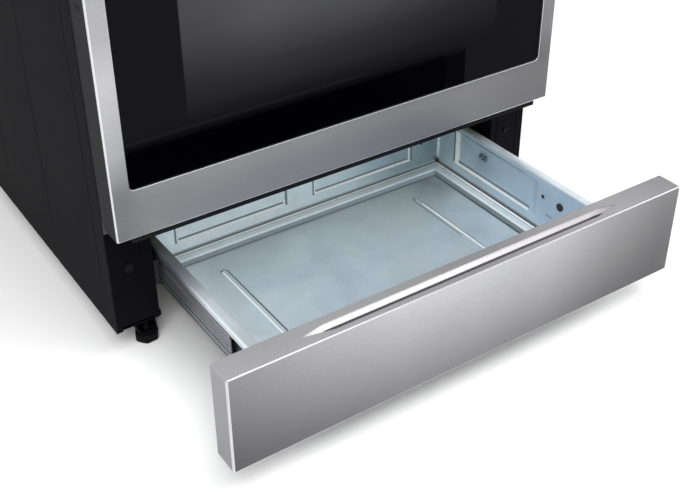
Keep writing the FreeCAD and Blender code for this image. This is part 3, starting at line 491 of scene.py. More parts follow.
M = {
    "painted_black": paint("side_black", (0.0125, 0.0125, 0.0138), rough=0.48, peel=0.05, spec=0.004),
    "post_black": paint("post_black", (0.0042, 0.0041, 0.0056), rough=0.42, peel=0.05, spec=0.02),
    "grey_painted": paint("door_side_grey", (0.0245, 0.0245, 0.028), rough=0.42, peel=0.04, spec=0.01),
    "galvanised": galvanised("galvanised_dull", base=(0.42, 0.44, 0.46), rough=0.42),
    "pan": galvanised("pan_galvanised", base=(0.60, 0.68, 0.74), rough=0.36, metal=0.72),
    "foot_steel": paint("foot_black", (0.0045, 0.0045, 0.005), rough=0.42, peel=0.08, spec=0.05),
    "screw_steel": plain_metal("screw_dark", (0.10, 0.10, 0.105), rough=0.35),
    "slide_steel": plain_metal("slide_steel", (0.20, 0.21, 0.22), rough=0.30, scale=500),
    "enamel": enamel("oven_enamel"),
    "enamel_matt": enamel("cap_enamel", base=(0.018, 0.018, 0.019), rough=0.34),
    "insulation": wool("glass_wool"),
    "burner_steel": plain_metal("burner_steel", (0.42, 0.40, 0.37), rough=0.38),
    "lamp_glass": clear_glass("lamp_lens", base=(0.95, 0.95, 0.90), rough=0.25, trans=0.7),
    "chrome_wire": plain_metal("plated_wire", (0.74, 0.74, 0.75), rough=0.14, var=0.04, bump=0.02),
    "hinge_steel": plain_metal("hinge_zinc", (0.45, 0.45, 0.46), rough=0.32),
    "stainless": stainless("brushed_stainless"),
    "dark_glass": dark_glass("door_glass_dark"),
    "clear_glass": clear_glass("door_glass_clear"),
    "gasket_rope": rope("gasket_rope"),
    "black_plastic": plastic("black_plastic", (0.014, 0.014, 0.014), rough=0.42),
    "grey_plastic": plastic("scoop_pale", (0.80, 0.80, 0.81), rough=0.28),
    "pipe_steel": plain_metal("tube_aluminium", (0.62, 0.62, 0.63), rough=0.28),
    "brass": plain_metal("brass", (0.70, 0.52, 0.24), rough=0.30),
    "knob_metal": stainless("knob_brushed", grain="Z", lo=0.46, hi=0.62, rough=0.26),
    "aluminium_cast": plain_metal("burner_cast", (0.52, 0.52, 0.53), rough=0.48, scale=600, bump=0.15),
    "cast_iron": cast_iron("grate_iron"),
    "display_glass": display_mat("display_black"),
    # painted shade: a dark copy of the slide zinc for shaded facets and the drawer member
    "slide_painted_midshade": drawn_metal("slide_mid_zinc", (0.085, 0.09, 0.10), rough=0.40, metal=0.8),
    "screw_black": paint("screw_black_zinc", (0.0075, 0.0072, 0.0090), rough=0.40, peel=0.05, spec=0.05),
    # painted shade: near-black for the inside of a pierced hole
    "hole_painted_shade": paint("hole_shadow_black", (0.003, 0.003, 0.004), rough=0.6, peel=0.02, spec=0.02),
    "handle_steel": stainless("handle_brushed", grain="X", lo=0.44, hi=0.56, rough=0.28),
    # painted highlight: bright zinc for the strips in the pan's back corners
    "corner_painted_highlight": plain_metal("pan_corner_painted_highlight", (0.90, 0.93, 0.95), rough=0.22, var=0.03),
    # painted highlight: lighter copies of the steel for the rounded edges of the drawer front and door
    "edge_painted_highlight": plain_metal("edge_painted_highlight", (0.62, 0.62, 0.64), rough=0.30, scale=900, var=0.04, bump=0.02),
    "window_edge_painted_highlight": plain_metal("window_edge_painted_highlight", (0.52, 0.52, 0.54), rough=0.30, scale=900, var=0.04, bump=0.02),
    "pan_floor": pan_zinc("pan_floor_zinc", "floor"),
    "pan_back": pan_zinc("pan_back_zinc", "back"),
    "pan_side": pan_zinc("pan_side_zinc", "side"),
    # painted highlight: a lighter copy of the pan zinc for the ledge, lit from above
    "pan_ledge_painted_highlight": plain_metal("pan_ledge_zinc", (0.74, 0.84, 0.90), rough=0.34, scale=60, metal=0.4, var=0.10, bump=0.03),
    # painted shade: a mid-dark copy of the pan zinc for shaded bends
    "crease_painted_midshade": plain_metal("crease_mid_zinc", (0.34, 0.40, 0.44), rough=0.35, scale=500, metal=0.7, var=0.08, bump=0.03),
    # painted shade: a dark copy of the zinc for the pan's outer faces
    "pan_outside_painted_shade": plain_metal("pan_outside_zinc", (0.085, 0.092, 0.105), rough=0.42, scale=160, metal=0.6, var=0.10, bump=0.03),
    "pan_rim": pan_zinc("pan_rim_zinc", "rim"),
    # painted shade and painted highlight: dark and light copies of the zinc for the pressed creases and beads
    "crease_painted_shade": plain_metal("crease_shadow_zinc", (0.20, 0.24, 0.265), rough=0.35, scale=500, metal=0.8, var=0.08, bump=0.03),
    "crease_painted_highlight": plain_metal("crease_light_zinc", (0.95, 0.985, 1.0), rough=0.30, scale=90, metal=0.15, var=0.03, bump=0.0),
    # painted highlight: a lighter copy of the slide zinc for facets that face the light
    "slide_painted_highlight": drawn_metal("slide_light_zinc", (0.245, 0.255, 0.28), rough=0.36, metal=0.8),
    # painted shade: a near-black copy of the slide zinc for groove facets and shaded slide members
    "slide_painted_shade": plain_metal("slide_groove_painted_shade", (0.035, 0.037, 0.042), rough=0.45, scale=260, metal=0.6, var=0.12, bump=0.05),
    "scoop": scoop_mat("scoop_satin"),
    "front_face": panel_steel("drawer_face_steel", "drawer"),
    "front_top": panel_steel("drawer_top_steel", "top"),
    "front_end": panel_steel("drawer_end_steel", "end"),
    "door_face": panel_steel("door_face_steel", "door"),
}


# ================================================== carried-over CAD surfaces
def finish_cad(o, bevel=0.0006, segs=2, angle=28.0):
    """Edge breaks and clean shading on a CAD node, by modifiers only."""
    w = o.modifiers.new("weld", "WELD")
    w.merge_threshold = 0.00002
    d = o.modifiers.new("planar", "DECIMATE")
    d.decimate_type = "DISSOLVE"
    d.angle_limit = math.radians(0.8)
    if bevel:
        b = o.modifiers.new("edge", "BEVEL")
        b.width = bevel
        b.segments = segs
        b.limit_method = "ANGLE"
        b.angle_limit = math.radians(angle)
        b.harden_normals = False
        b.use_clamp_overlap = True


slot_of = {s["node"]: s["material_slot"] for s in frame["record"]["subparts"]}
# the cabinet slide supports and members take the painted shade slide zinc
special = {"post_screws": "screw_black", "slide_supports": "slide_painted_shade", "slide_cabinet_members": "slide_painted_shade", "front_post_left": "post_black", "front_post_right": "post_black", "base_frame": "post_black",
           "drawer_pan": "pan"}
BEV = {"drawer_pan": 0.0010, "control_fascia": 0.0010, "backguard_shell": 0.0012, "grate_left": 0.0016,
       "grate_right": 0.0016, "door_skin": 0.0005, "drawer_front_skin": 0.0004, "gas_supply_tube": 0.0,
       "gas_manifold": 0.0008, "door_glass_outer": 0.0006, "side_panel_left": 0.0, "side_panel_right": 0.0}
for name, o in NODES.items():
    key = special.get(name, slot_of.get(name))
    o.data.materials.clear()
    o.data.materials.append(M[key])
    finish_cad(o, BEV.get(name, 0.0005))


# ============================================================ mesh helpers
def link_obj(name, me, mats, smooth=35.0):
    ob = bpy.data.objects.new(name, me)
    COL.objects.link(ob)
    for k in mats:
        me.materials.append(M[k] if isinstance(k, str) else k)
    if smooth:
        me.polygons.foreach_set("use_smooth", [True] * len(me.polygons))
        me.set_sharp_from_angle(angle=math.radians(smooth))
    return ob


def from_bm(name, bm, mats, smooth=35.0, normals=True):
    if normals:
        bmesh.ops.recalc_face_normals(bm, faces=bm.faces)
    me = bpy.data.meshes.new(name)
    bm.to_mesh(me)
    bm.free()
    return link_obj(name, me, mats, smooth)


def bevel(ob, width, segs=2, angle=30.0):
    b = ob.modifiers.new("edge", "BEVEL")
    b.width, b.segments = width, segs
    b.limit_method, b.angle_limit = "ANGLE", math.radians(angle)
    return ob


def rrect(x0, x1, z0, z1, r, n=6, per=0):
    """Rounded rectangle as (x, z) points, counter-clockwise, n segments a corner."""
    pts = []
    for cx, cz, a0 in ((x1 - r, z0 + r, -90), (x1 - r, z1 - r, 0), (x0 + r, z1 - r, 90), (x0 + r, z0 + r, 180)):
        for i in range(n + 1):
            a = math.radians(a0 + 90.0 * i / n)
            pts.append((cx + r * math.cos(a), cz + r * math.sin(a)))
    return pts


def rings(bm, loops, closed=True, mat=0):
    """Quads between successive loops of equal length."""
    vs = [[bm.verts.new(p) for p in loop] for loop in loops]
    n = len(loops[0])
    fs = []
    for a, b in zip(vs, vs[1:]):
        for i in range(n if closed else n - 1):
            j = (i + 1) % n
            try:
                f = bm.faces.new((a[i], a[j], b[j], b[i]))
                f.material_index = mat
                fs.append(f)
            except ValueError:
                pass
    return vs, fs


def lathe(bm, profile, frame_m, n=48, mat=0, cap0=True, cap1=True):
    """Turned form: profile of (radius, height) pairs about local Z, placed by a matrix."""
    loops = []
    for r0, h in profile:
        loops.append([frame_m @ Vector((r0 * math.cos(2 * math.pi * i / n), r0 * math.sin(2 * math.pi * i / n), h))
                      for i in range(n)])
    vs, fs = rings(bm, loops, True, mat)
    if cap0:
        bm.faces.new(list(reversed(vs[0]))).material_index = mat
    if cap1:
        bm.faces.new(vs[-1]).material_index = mat
    return vs


def bmbox(bm, x0, x1, y0, y1, z0, z1, mat=0):
    v = [bm.verts.new((x, y, z)) for x in (x0, x1) for y in (y0, y1) for z in (z0, z1)]
    for q in ((0, 1, 3, 2), (4, 6, 7, 5), (0, 4, 5, 1), (2, 3, 7, 6), (0, 2, 6, 4), (1, 5, 7, 3)):
        bm.faces.new([v[i] for i in q]).material_index = mat
    return v


def sstep(a, b, x):
    t = max(0.0, min(1.0, (x - a) / (b - a)))
    return t * t * (3 - 2 * t)


def mm(*v):
    return tuple(x / 1000.0 for x in v)


def samples(a, b, step, feats, fine=1.0, reach=7):
    s = set()
    n = max(1, int(round((b - a) / step)))
    for i in range(n + 1):
        s.add(round(a + (b - a) * i / n, 3))
    for f in feats:
        for k in range(-reach, reach + 1):
            x = f + k * fine
            if a < x < b:
                s.add(round(x, 3))
    s = sorted(s)
    out = [s[0]]
    for x in s[1:-1]:
        if x - out[-1] > 0.55 and s[-1] - x > 0.55:
            out.append(x)
    out.append(s[-1])
    return out


YD = -180.0   # row depth of the door's outer face, mm

# ================================================================ drawer pan
def make_pan():
    pl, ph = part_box("drawer_pan")
    PF, PB = -250.7 + 1.2, 158.0          # inner faces, door-relative
    RIM, LEDGE, FLOOR, HW = 154.4, 64.4, 54.4, 285.0
    feats_x = [-225, -31, 27.6, 223.4]
    k = HW / (HW - 26.0)
    feats_x += [sx * (184 + e) * k for sx in (-1, 1) for e in (-5, 0, 5)]
    xs = samples(-HW, HW, 9.0, feats_x, 1.0, 7)
    feats_y = [-92, -84, 104, 114]
    ky = (PB - PF) / (PB - PF - 52.0)
    yc = (PB + PF) / 2
    feats_y += [yc + (v - yc) * ky for v in (-204, -198, 84, 92)]
    ys = samples(PF, PB, 9.0, feats_y, 1.2, 6)
    nx, ny = len(xs), len(ys)

    def ring(x_half, y_front, y_back, z):
        """Loop order: back side left-to-right, right side back-to-front, front right-to-left, left front-to-back."""
        fx = lambda x: x * x_half / HW
        fy = lambda y: y_front + (y - PF) * (y_back - y_front) / (PB - PF)
        out = []
        for x in xs[:-1]:
            out.append([fx(x), y_back, z, "b"])
        for y in reversed(ys[1:]):
            out.append([x_half, fy(y), z, "r"])
        for x in reversed(xs[1:]):
            out.append([fx(x), y_front, z, "f"])
        for y in ys[:-1]:
            out.append([-x_half, fy(y), z, "l"])
        return out

    def press(p):
        x, y, z, s = p
        if not (LEDGE + 1 < z < RIM - 1):
            return x, y, z
        if s == "b" or (abs(y - PB) < 0.01):
            d = 0.0
            for a, b in ((-225, -31), (27.6, 223.4)):
                d = max(d, min(sstep(a - 4, a + 1, x), 1 - sstep(b - 1, b + 4, x), sstep(84, 89, z), 1 - sstep(131, 136, z)))
            return x, y + 2.9 * d, z
        if abs(abs(x) - HW) < 0.01:
            d = min(sstep(-96, -82, y), 1 - sstep(101, 115, y), sstep(82, 95, z), 1 - sstep(140, 147, z))
            sx = 1 if x > 0 else -1
            return x + sx * 3.7 * d, y, z
        return x, y, z

    zs = samples(LEDGE, RIM, 9.0, [86, 92, 134, 143], 1.3, 5)
    fl = 15.5
    rows = []
    # turned-down lip, flange, rolled inner edge
    rows.append(("rim", ring(HW + fl, PF, PB + fl, RIM - 12)))
    rows.append(("rim", ring(HW + fl, PF, PB + fl, RIM - 2.0)))
    rows.append(("rim", ring(HW + fl - 0.5, PF, PB + fl - 0.5, RIM - 0.6)))
    rows.append(("rim", ring(HW + fl - 1.8, PF, PB + fl - 1.8, RIM - 0.02)))
    rows.append(("rim", ring(HW + 2.2, PF, PB + 2.2, RIM - 0.02)))
    rows.append(("rim", ring(HW + 0.7, PF, PB + 0.7, RIM - 0.5)))
    rows.append(("wall", ring(HW, PF, PB, RIM - 1.8)))
    for z in reversed(zs[1:-1]):
        if LEDGE + 8.5 < z < RIM - 2.4:
            rows.append(("wall", ring(HW, PF, PB, z)))
    for off, z in ((0.0, LEDGE + 7.0), (0.7, LEDGE + 4.0), (2.2, LEDGE + 1.8), (4.4, LEDGE + 0.4), (6.6, LEDGE), (8.4, LEDGE),
                   (9.6, LEDGE - 0.05), (19.5, LEDGE), (21.2, LEDGE - 0.6), (22.3, LEDGE - 2.2), (24.4, FLOOR + 2.0),
                   (25.2, FLOOR + 0.6), (26.6, FLOOR)):
        rows.append(("wall", ring(HW - off, PF + off, PB - off, z)))
    n_rim = sum(1 for k, _ in rows if k == "rim")
    i_bend = len(rows) - 13
    bm = bmesh.new()
    V = []
    for kind, row in rows:
        V.append([bm.verts.new(mm(*(lambda q: (q[0], q[1] + YD, q[2]))(press(p)))) for p in row])
    n = len(rows[0][1])
    side = [p[3] for p in rows[0][1]]
    for i in range(len(rows) - 1):
        for j in range(n):
            j2 = (j + 1) % n
            if rows[i + 1][0] == "rim" and side[j] == "f":
                continue
            if rows[i][0] == "rim" and side[j] == "f" and rows[i + 1][0] == "wall":
                continue
            f = bm.faces.new((V[i][j], V[i][j2], V[i + 1][j2], V[i + 1][j]))
            sd = side[j]
            k = i - n_rim          # 0 = first wall row
            # material by face: the walls take zinc with painted light and shade, the rim its own; the bend rows and the
            # edges of the pressed panels take the painted highlight, painted mid-shade and painted shade copies, by
            # which way each face looks
            mat = {"b": 1, "r": 2, "l": 2, "f": 2}[sd]
            if rows[i + 1][0] == "rim":
                mat = 7
            elif i > i_bend:
                q = i - i_bend
                mat = {1: 6, 2: 4, 3: 5, 4: 5, 5: 6, 6: 3, 7: 5, 8: 3, 9: 6, 10: 4, 11: 4}.get(q, 3)
            else:
                x = (rows[i][1][j][0] + rows[i][1][j2][0]) / 2
                y = (rows[i][1][j][1] + rows[i][1][j2][1]) / 2
                z = (rows[i][1][j][2] + rows[i + 1][1][j][2]) / 2
                if sd == "b" and 80 < z < 140:
                    for pa, pb in ((-225, -31), (27.6, 223.4)):
                        inx, inz = pa - 5 < x < pb + 5, 83 < z < 137
                        if inx and inz:
                            if z < 90:
                                mat = 5 if z < 86.4 else 4
                            if z > 130.5:
                                mat = 4 if z < 134 else 5
                            if pa - 5 < x < pa + 2 and z < 133:
                                mat = 4 if x < pa - 1.2 else 5
                            if pb - 2 < x < pb + 5 and z < 133:
                                mat = 5 if x < pb + 1.2 else 4
                if sd in "rl" and 80 < z < 149 and -98 < y < 117:
                    if 82 < z < 93 and -78 < y < 112:
                        mat = 5 if z < 87 else (6 if z < 91 else mat)
                    if 142.5 < z < 147 and -60 < y < 108:
                        mat = 6
                    if 102 < y < 114 and 85 < z < 145:
                        mat = 5 if y < 111 else 4
            f.material_index = mat
    # floor grid inside the last ring
    xh, yf, yb = HW - 26.6, PF + 26.6, PB - 26.6
    last = V[-1]
    grid = {}
    idx = 0
    for i in range(nx - 1):
        grid[(i, ny - 1)] = last[idx]; idx += 1
    for j in range(ny - 1, 0, -1):
        grid[(nx - 1, j)] = last[idx]; idx += 1
    for i in range(nx - 1, 0, -1):
        grid[(i, 0)] = last[idx]; idx += 1
    for j in range(ny - 1):
        grid[(0, j)] = last[idx]; idx += 1

    def floor_z(x, y):
        z = FLOOR
        for bx in (-184, 184):
            dy = max(0.0, y - 87, -200 - y)
            dd = math.hypot(x - bx, dy)
            if dd < 6.5:
                # a pressed bead: round top with a crisp foot on each side
                z += 1.9 * (1 - sstep(1.4, 5.4, dd))
        # the sheet is very slightly crowned
        z += 0.5 * math.cos(math.pi * x / (2 * xh)) * math.cos(math.pi * (y - (yf + yb) / 2) / (yb - yf))
        return z
    for i in range(1, nx - 1):
        for j in range(1, ny - 1):
            x = xs[i] * xh / HW
            y = yf + (ys[j] - PF) * (yb - yf) / (PB - PF)
            grid[(i, j)] = bm.verts.new(mm(x, y + YD, floor_z(x, y)))
    for i in range(nx - 1):
        for j in range(ny - 1):
            f = bm.faces.new((grid[(i, j)], grid[(i + 1, j)], grid[(i + 1, j + 1)], grid[(i, j + 1)]))
            x = (xs[i] + xs[i + 1]) / 2 * xh / HW
            y = yf + ((ys[j] + ys[j + 1]) / 2 - PF) * (yb - yf) / (PB - PF)
            # bead faces: painted shade, painted mid-shade and painted highlight copies of the zinc on its sides
            for bx in (-184, 184):
                dy = max(0.0, y - 87, -200 - y)
                dd = math.hypot(x - bx, dy)
                if dd < 6.2:
                    if bx < 0:
                        q = 4 if ((x > bx + 2.6 and dd > 2.2) or (y > 87 and dd > 3.0)) else (5 if bx - 4.2 < x < bx - 2.6 else 0)
                    else:
                        q = 6 if ((x > bx + 3.0 and dd > 2.2) or (y > 84 and dd > 2.4)) else (5 if abs(x - bx) < 1.4 and y < 70 else (6 if x < bx - 3.8 and y > -40 else 0))
                    f.material_index = q
    bmesh.ops.recalc_face_normals(bm, faces=bm.faces)
    # normals towards the inside of the pan, so the sheet thickens outwards
    bm.faces.ensure_lookup_table()
    c = [f for f in bm.faces if abs(f.normal.z) > 0.9 and abs(f.calc_center_median().z - FLOOR / 1000) < 0.002]
    if c and c[0].normal.z < 0:
        bmesh.ops.reverse_faces(bm, faces=bm.faces)
    ob = from_bm("pan_pressed", bm, ["pan_floor", "pan_back", "pan_side", "pan_ledge_painted_highlight", "crease_painted_shade", "crease_painted_highlight", "crease_painted_midshade",
                                    "pan_rim"] + ["pan_outside_painted_shade"] * 8, smooth=50, normals=False)
    # the sheet's outer faces take the painted shade zinc through the material offset
    sol = ob.modifiers.new("sheet", "SOLIDIFY")
    sol.material_offset = 8
    sol.thickness, sol.offset = 0.0009, -1.0
    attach(ob, "drawer")
    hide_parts("drawer_pan")

    # small pressings on the side walls: lanced tab lips in the painted shade zinc; dark discs and strips as painted
    # shade in a round hole, the corner notches and the slots
    bm = bmesh.new()
    for sx in (-1, 1):
        w = sx * 285.0
        # lanced tab: three short raised lips, coloured as painted shade
        for (y0, y1, z0, z1) in ((31, 33, 120, 130), (31, 47, 128.5, 130), (45, 47, 122, 130), (36, 42, 121.5, 123)):
            x0, x1 = sorted((w + sx * 3.2, w - sx * 1.6))
            bmbox(bm, *mm(x0, x1, y0 + YD, y1 + YD, z0, z1))
    tabs = bevel(from_bm("pan_lanced_tabs", bm, ["crease_painted_shade"], smooth=30), 0.0004)
    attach(tabs, "drawer")
    bm = bmesh.new()
    for sx in (-1, 1):
        w = sx * 285.0
        x0, x1 = sorted((w + sx * 0.6, w - sx * 0.25))
        # painted shade: a dark disc for the round hole in each wall
        m4 = Matrix.Translation(mm(x0, -107.7 + YD, 124.4)) @ Matrix.Rotation(math.radians(90), 4, "Y")
        lathe(bm, [(0.0036, 0.0), (0.0036, (x1 - x0) / 1000)], m4, n=20)
        # painted shade: a dark plug in the open corner notch where the walls meet the ledge at the back
        F = Matrix.Translation(mm(sx * 281.6, 154.6 + YD, 64.9))
        lathe(bm, [(0.0022, 0.0), (0.0030, 0.0010), (0.0030, 0.0046), (0.0020, 0.0056), (0.0006, 0.0060)], F, n=16)
        # painted shade: dark strips for short slots near the front end of the wall, and one by the back edge
        x0, x1 = sorted((w + sx * 0.3, w - sx * 0.22))
        bmbox(bm, *mm(x0, x1, -150.0 + YD, -134.0 + YD, 96.0, 97.0))
        bmbox(bm, *mm(x0, x1, -132.0 + YD, -118.0 + YD, 96.0, 97.0))
    bmbox(bm, *mm(246, 250, 157.6 + YD, 158.3 + YD, 108, 110.5))
    hole_shade_marks = bevel(from_bm("pan_holes_painted_shade", bm, ["black_plastic"], smooth=30), 0.0002)
    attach(hole_shade_marks, "drawer")
    # painted highlight: a bright strip on the folded sheet in the back corners
    bm = bmesh.new()
    for sx in (-1, 1):
        x0, x1 = sorted((sx * 285.1, sx * 282.2))
        bmbox(bm, *mm(x0, x1, 155.4 + YD, 158.2 + YD, 73.5, 152.0))
    corner_painted_highlight = bevel(from_bm("pan_corner_painted_highlights", bm, ["corner_painted_highlight"], smooth=30), 0.0005)
    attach(corner_painted_highlight, "drawer")


# ============================================================== drawer front
def make_drawer_front():
    D0, D1 = -290.0, -250.7
    X, Z0, Z1 = 378.0, 56.0, 203.0
    mouth = [(-231, D0 + 26), (232, D0 + 26), (266, D0 + 18.5), (219, D0 + 9.5), (-221, D0 + 9.5), (-265, D0 + 18.5)]
    bm = bmesh.new()
    R = 1.5
    # outer shell by loops across X: section through (y, z), open at the back
    def section(x, inset):
        i = inset
        pts = [(D1, Z0 + i)]
        for a in range(0, 5):
            t = math.radians(270 - 22.5 * a)
            pts.append((D0 + i + R + R * math.cos(t), Z0 + i + R + R * math.sin(t)))
        for a in range(0, 5):
            t = math.radians(180 - 22.5 * a)
            pts.append((D0 + i + R + R * math.cos(t), Z1 - i - R + R * math.sin(t)))
        pts.append((D1, Z1 - i))
        return [Vector(mm(x, y + YD, z)) for y, z in pts]
    # end roundings: the wrap turns the corner in small steps
    secs = []
    E = 2.6
    for a in range(0, 5):
        t = math.radians(90 * a / 4)
        secs.append((-X + E - E * math.cos(t), E - E * math.sin(t)))
    # columns across the face
    xs = [secs[-1][0]] + [(-X + E) + (2 * X - 2 * E) * i / 24 for i in range(1, 24)]
    full = secs + [(x, 0.0) for x in xs[1:]] + [(-a, b) for a, b in reversed(secs)]
    loops = [section(x, ins) for x, ins in full]
    vs = [[bm.verts.new(p) for p in L] for L in loops]
    nL = len(loops[0])
    top_i = nL - 2
    for li, (a, b) in enumerate(zip(vs, vs[1:])):
        for i in range(nL - 1):
            if i == top_i and 4 <= li < len(vs) - 5:
                continue          # the top face is made below, round the scoop's mouth
            f = bm.faces.new((a[i], a[i + 1], b[i + 1], b[i]))
            f.material_index = 0
            if li < 4 or li >= len(vs) - 5:
                f.material_index = 4
            elif i in (1, 2, 3, 4) or 6 <= i <= 9:
                f.material_index = 1
            if i == top_i:
                f.material_index = 2
    # end plates
    for row, s in ((vs[0], 1), (vs[-1], -1)):
        f = bm.faces.new(row if s < 0 else list(reversed(row)))
        f.material_index = 3
    # top face with the mouth: strips between the outer border and the mouth polygon
    a0, a1 = 4, len(vs) - 5
    front = [vs[k][nL - 2] for k in range(a0, a1 + 1)]
    rear = [vs[k][nL - 1] for k in range(a0, a1 + 1)]
    mv = [bm.verts.new(mm(x, y + YD, Z1)) for x, y in mouth]
    bl, br, re, fr, fl_, le = mv
    def strip(border, inner):
        """Fan between a border run and an inner run, both ordered along +X."""
        i = j = 0
        while i < len(border) - 1 or j < len(inner) - 1:
            if j == len(inner) - 1 or (i < len(border) - 1 and border[i + 1].co.x <= inner[j + 1].co.x):
                f = bm.faces.new((border[i], border[i + 1], inner[j])); i += 1
            else:
                f = bm.faces.new((border[i], inner[j + 1], inner[j])); j += 1
            f.material_index = 2
    strip(rear, [le, bl, br, re])
    strip(front, [le, fl_, fr, re])
    f = bm.faces.new((rear[0], front[0], le)); f.material_index = 2
    f = bm.faces.new((rear[-1], re, front[-1])); f.material_index = 2
    # rolled lips of the mouth
    lip = [bm.verts.new(mm(x, y + YD, Z1 - 1.15)) for x, y in mouth]
    for i in range(6):
        j = (i + 1) % 6
        f = bm.faces.new((mv[i], mv[j], lip[j], lip[i])); f.material_index = 5
    bmesh.ops.recalc_face_normals(bm, faces=bm.faces)
    fr_faces = [f for f in bm.faces if f.material_index == 0 and abs(f.normal.y) > 0.9]
    if fr_faces and fr_faces[0].normal.y > 0:
        bmesh.ops.reverse_faces(bm, faces=bm.faces)
    # the faces carry painted reflection; the rounded edges and ends take the painted highlight steel
    ob = from_bm("drawer_front_wrap", bm, ["front_face", "edge_painted_highlight", "front_top", "front_end", "window_edge_painted_highlight", "scoop"], smooth=24, normals=False)
    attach(ob, "drawer"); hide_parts("drawer_front_skin")

    # the scoop: satin bar that slopes down to the front and hooks under the lip
    bm = bmesh.new()
    xs = [-268 + 536 * i / 40 for i in range(41)]
    def rear_y(x):
        if x < -231: return D0 + 18.5 + (26 - 18.5) * (x + 265) / 34.0
        if x > 232: return D0 + 18.5 + (26 - 18.5) * (266 - x) / 34.0
        return D0 + 26
    loops = []
    for x in xs:
        ry = max(D0 + 18.0, rear_y(x)) + 0.25
        pr = [(ry, Z1 - 1.3), (ry - 0.2, Z1 - 2.2), (ry - 1.2, Z1 - 3.6)]
        fy = D0 + 6.8
        for t in (0.25, 0.5, 0.75, 0.92):
            pr.append((ry - 1.2 + (fy - ry + 1.2) * t, Z1 - 3.6 - 20.4 * t))
        pr += [(fy - 0.6, Z1 - 24.6), (fy - 1.9, Z1 - 24.2), (fy - 2.3, Z1 - 22.6), (fy - 2.3, Z1 - 1.5)]
        loops.append([Vector(mm(x, y + YD, z)) for y, z in pr])
    rings(bm, loops, closed=False)
    # end cheeks
    for k in (0, -1):
        bmv = [bm.verts.new(p) for p in loops[k]]
        bm.faces.new(bmv)
    ob = from_bm("drawer_scoop", bm, ["scoop"], smooth=40)
    sol = ob.modifiers.new("wall", "SOLIDIFY"); sol.thickness, sol.offset = 0.0008, 1.0
    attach(ob, "drawer"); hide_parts("drawer_pull_insert")


# ================================================================= door face
def make_door_face():
    X, Z0, Z1 = 378.0, 229.0, 768.0
    WX, W0, W1, WR = 352.0, 301.4, 702.0, 7.0
    bm = bmesh.new()
    def loop(x0, x1, z0, z1, r, y):
        return [Vector(mm(x, y + YD, z)) for x, z in rrect(x0, x1, z0, z1, r, 5)]
    L = []
    R = 1.9
    L.append((loop(-X, X, Z0, Z1, 1.6, 3.1), 1))
    for a in range(0, 5):
        t = math.radians(90 * a / 4)
        i = R - R * math.cos(t)
        L.append((loop(-X + i, X - i, Z0 + i, Z1 - i, 1.6, R - R * math.sin(t)), 1))
    r2 = 0.9
    for a in range(0, 5):
        t = math.radians(90 * a / 4)
        o = r2 - r2 * math.sin(t)
        L.append((loop(-WX - o, WX + o, W0 - o, W1 + o, WR + o, r2 - r2 * math.cos(t)), 1))
    L.append((loop(-WX, WX, W0, W1, WR, 3.9), 1))
    vs = [[bm.verts.new(p) for p in l] for l, _ in L]
    n = len(vs[0])
    for k, (a, b) in enumerate(zip(vs, vs[1:])):
        for i in range(n):
            j = (i + 1) % n
            f = bm.faces.new((a[i], a[j], b[j], b[i]))
            f.material_index = 0 if k == 5 else (1 if k < 5 else 2)
    # the flat face carries painted reflection; the rounded edges take the painted highlight steel
    ob = from_bm("door_face_wrap", bm, ["door_face", "edge_painted_highlight", "window_edge_painted_highlight"], smooth=30)
    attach(ob, "door"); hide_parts("door_skin")


make_pan()
make_drawer_front()
make_door_face()

# ============================================================ tubes and paths
def tube(bm, pts, rad, closed=False, n=12, mat=0, caps=True, squash=1.0):
    """Round bar along a polyline, mitred frames, optional squash across the local second axis."""
    P = [Vector(p) for p in pts]
    k = len(P)
    loops = []
    ref = Vector((0, 0, 1))
    for i in range(k):
        if closed:
            t = (P[(i + 1) % k] - P[i - 1]).normalized()
        elif i == 0:
            t = (P[1] - P[0]).normalized()
        elif i == k - 1:
            t = (P[-1] - P[-2]).normalized()
        else:
            t = ((P[i + 1] - P[i]).normalized() + (P[i] - P[i - 1]).normalized()).normalized()
        a = t.cross(ref)
        if a.length < 1e-4:
            a = t.cross(Vector((1, 0, 0)))
        a.normalize()
        b = a.cross(t).normalized()
        loops.append([P[i] + a * rad * math.cos(2 * math.pi * j / n) + b * rad * squash * math.sin(2 * math.pi * j / n)
                      for j in range(n)])
    vs = [[bm.verts.new(p) for p in L] for L in loops]
    rngs = range(k if closed else k - 1)
    for i in rngs:
        A, B = vs[i], vs[(i + 1) % k]
        for j in range(n):
            f = bm.faces.new((A[j], A[(j + 1) % n], B[(j + 1) % n], B[j]))
            f.material_index = mat
    if not closed and caps:
        bm.faces.new(list(reversed(vs[0]))).material_index = mat
        bm.faces.new(vs[-1]).material_index = mat


def make_rack(body, node, level):
    bm = bmesh.new()
    loop = [Vector(mm(x, y + YD, level + 3)) for x, y in rrect(-294.4, 294.4, 77.2, 498.8, 14, 6)]
    tube(bm, loop, 0.0029, closed=True, n=12)
    for i in range(15):
        x = -266 + 532.0 * i / 14
        tube(bm, [Vector(mm(x, 76.5 + YD, level + 4)), Vector(mm(x, 180 + YD, level + 4)), Vector(mm(x, 400 + YD, level + 4)),
                  Vector(mm(x, 499.5 + YD, level + 4))], 0.0019, n=10)
    tube(bm, [Vector(mm(-293, 287 + YD, level + 2.6)), Vector(mm(0, 287 + YD, level + 2.6)), Vector(mm(293, 287 + YD, level + 2.6))], 0.0024, n=10)
    for x in (-88, 88):
        tube(bm, [Vector(mm(x, 77 + YD, level + 2.6)), Vector(mm(x, 499 + YD, level + 2.6))], 0.0018, n=8)
    ob = from_bm(node + "_wire", bm, ["chrome_wire"], smooth=40)
    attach(ob, body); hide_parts(node)


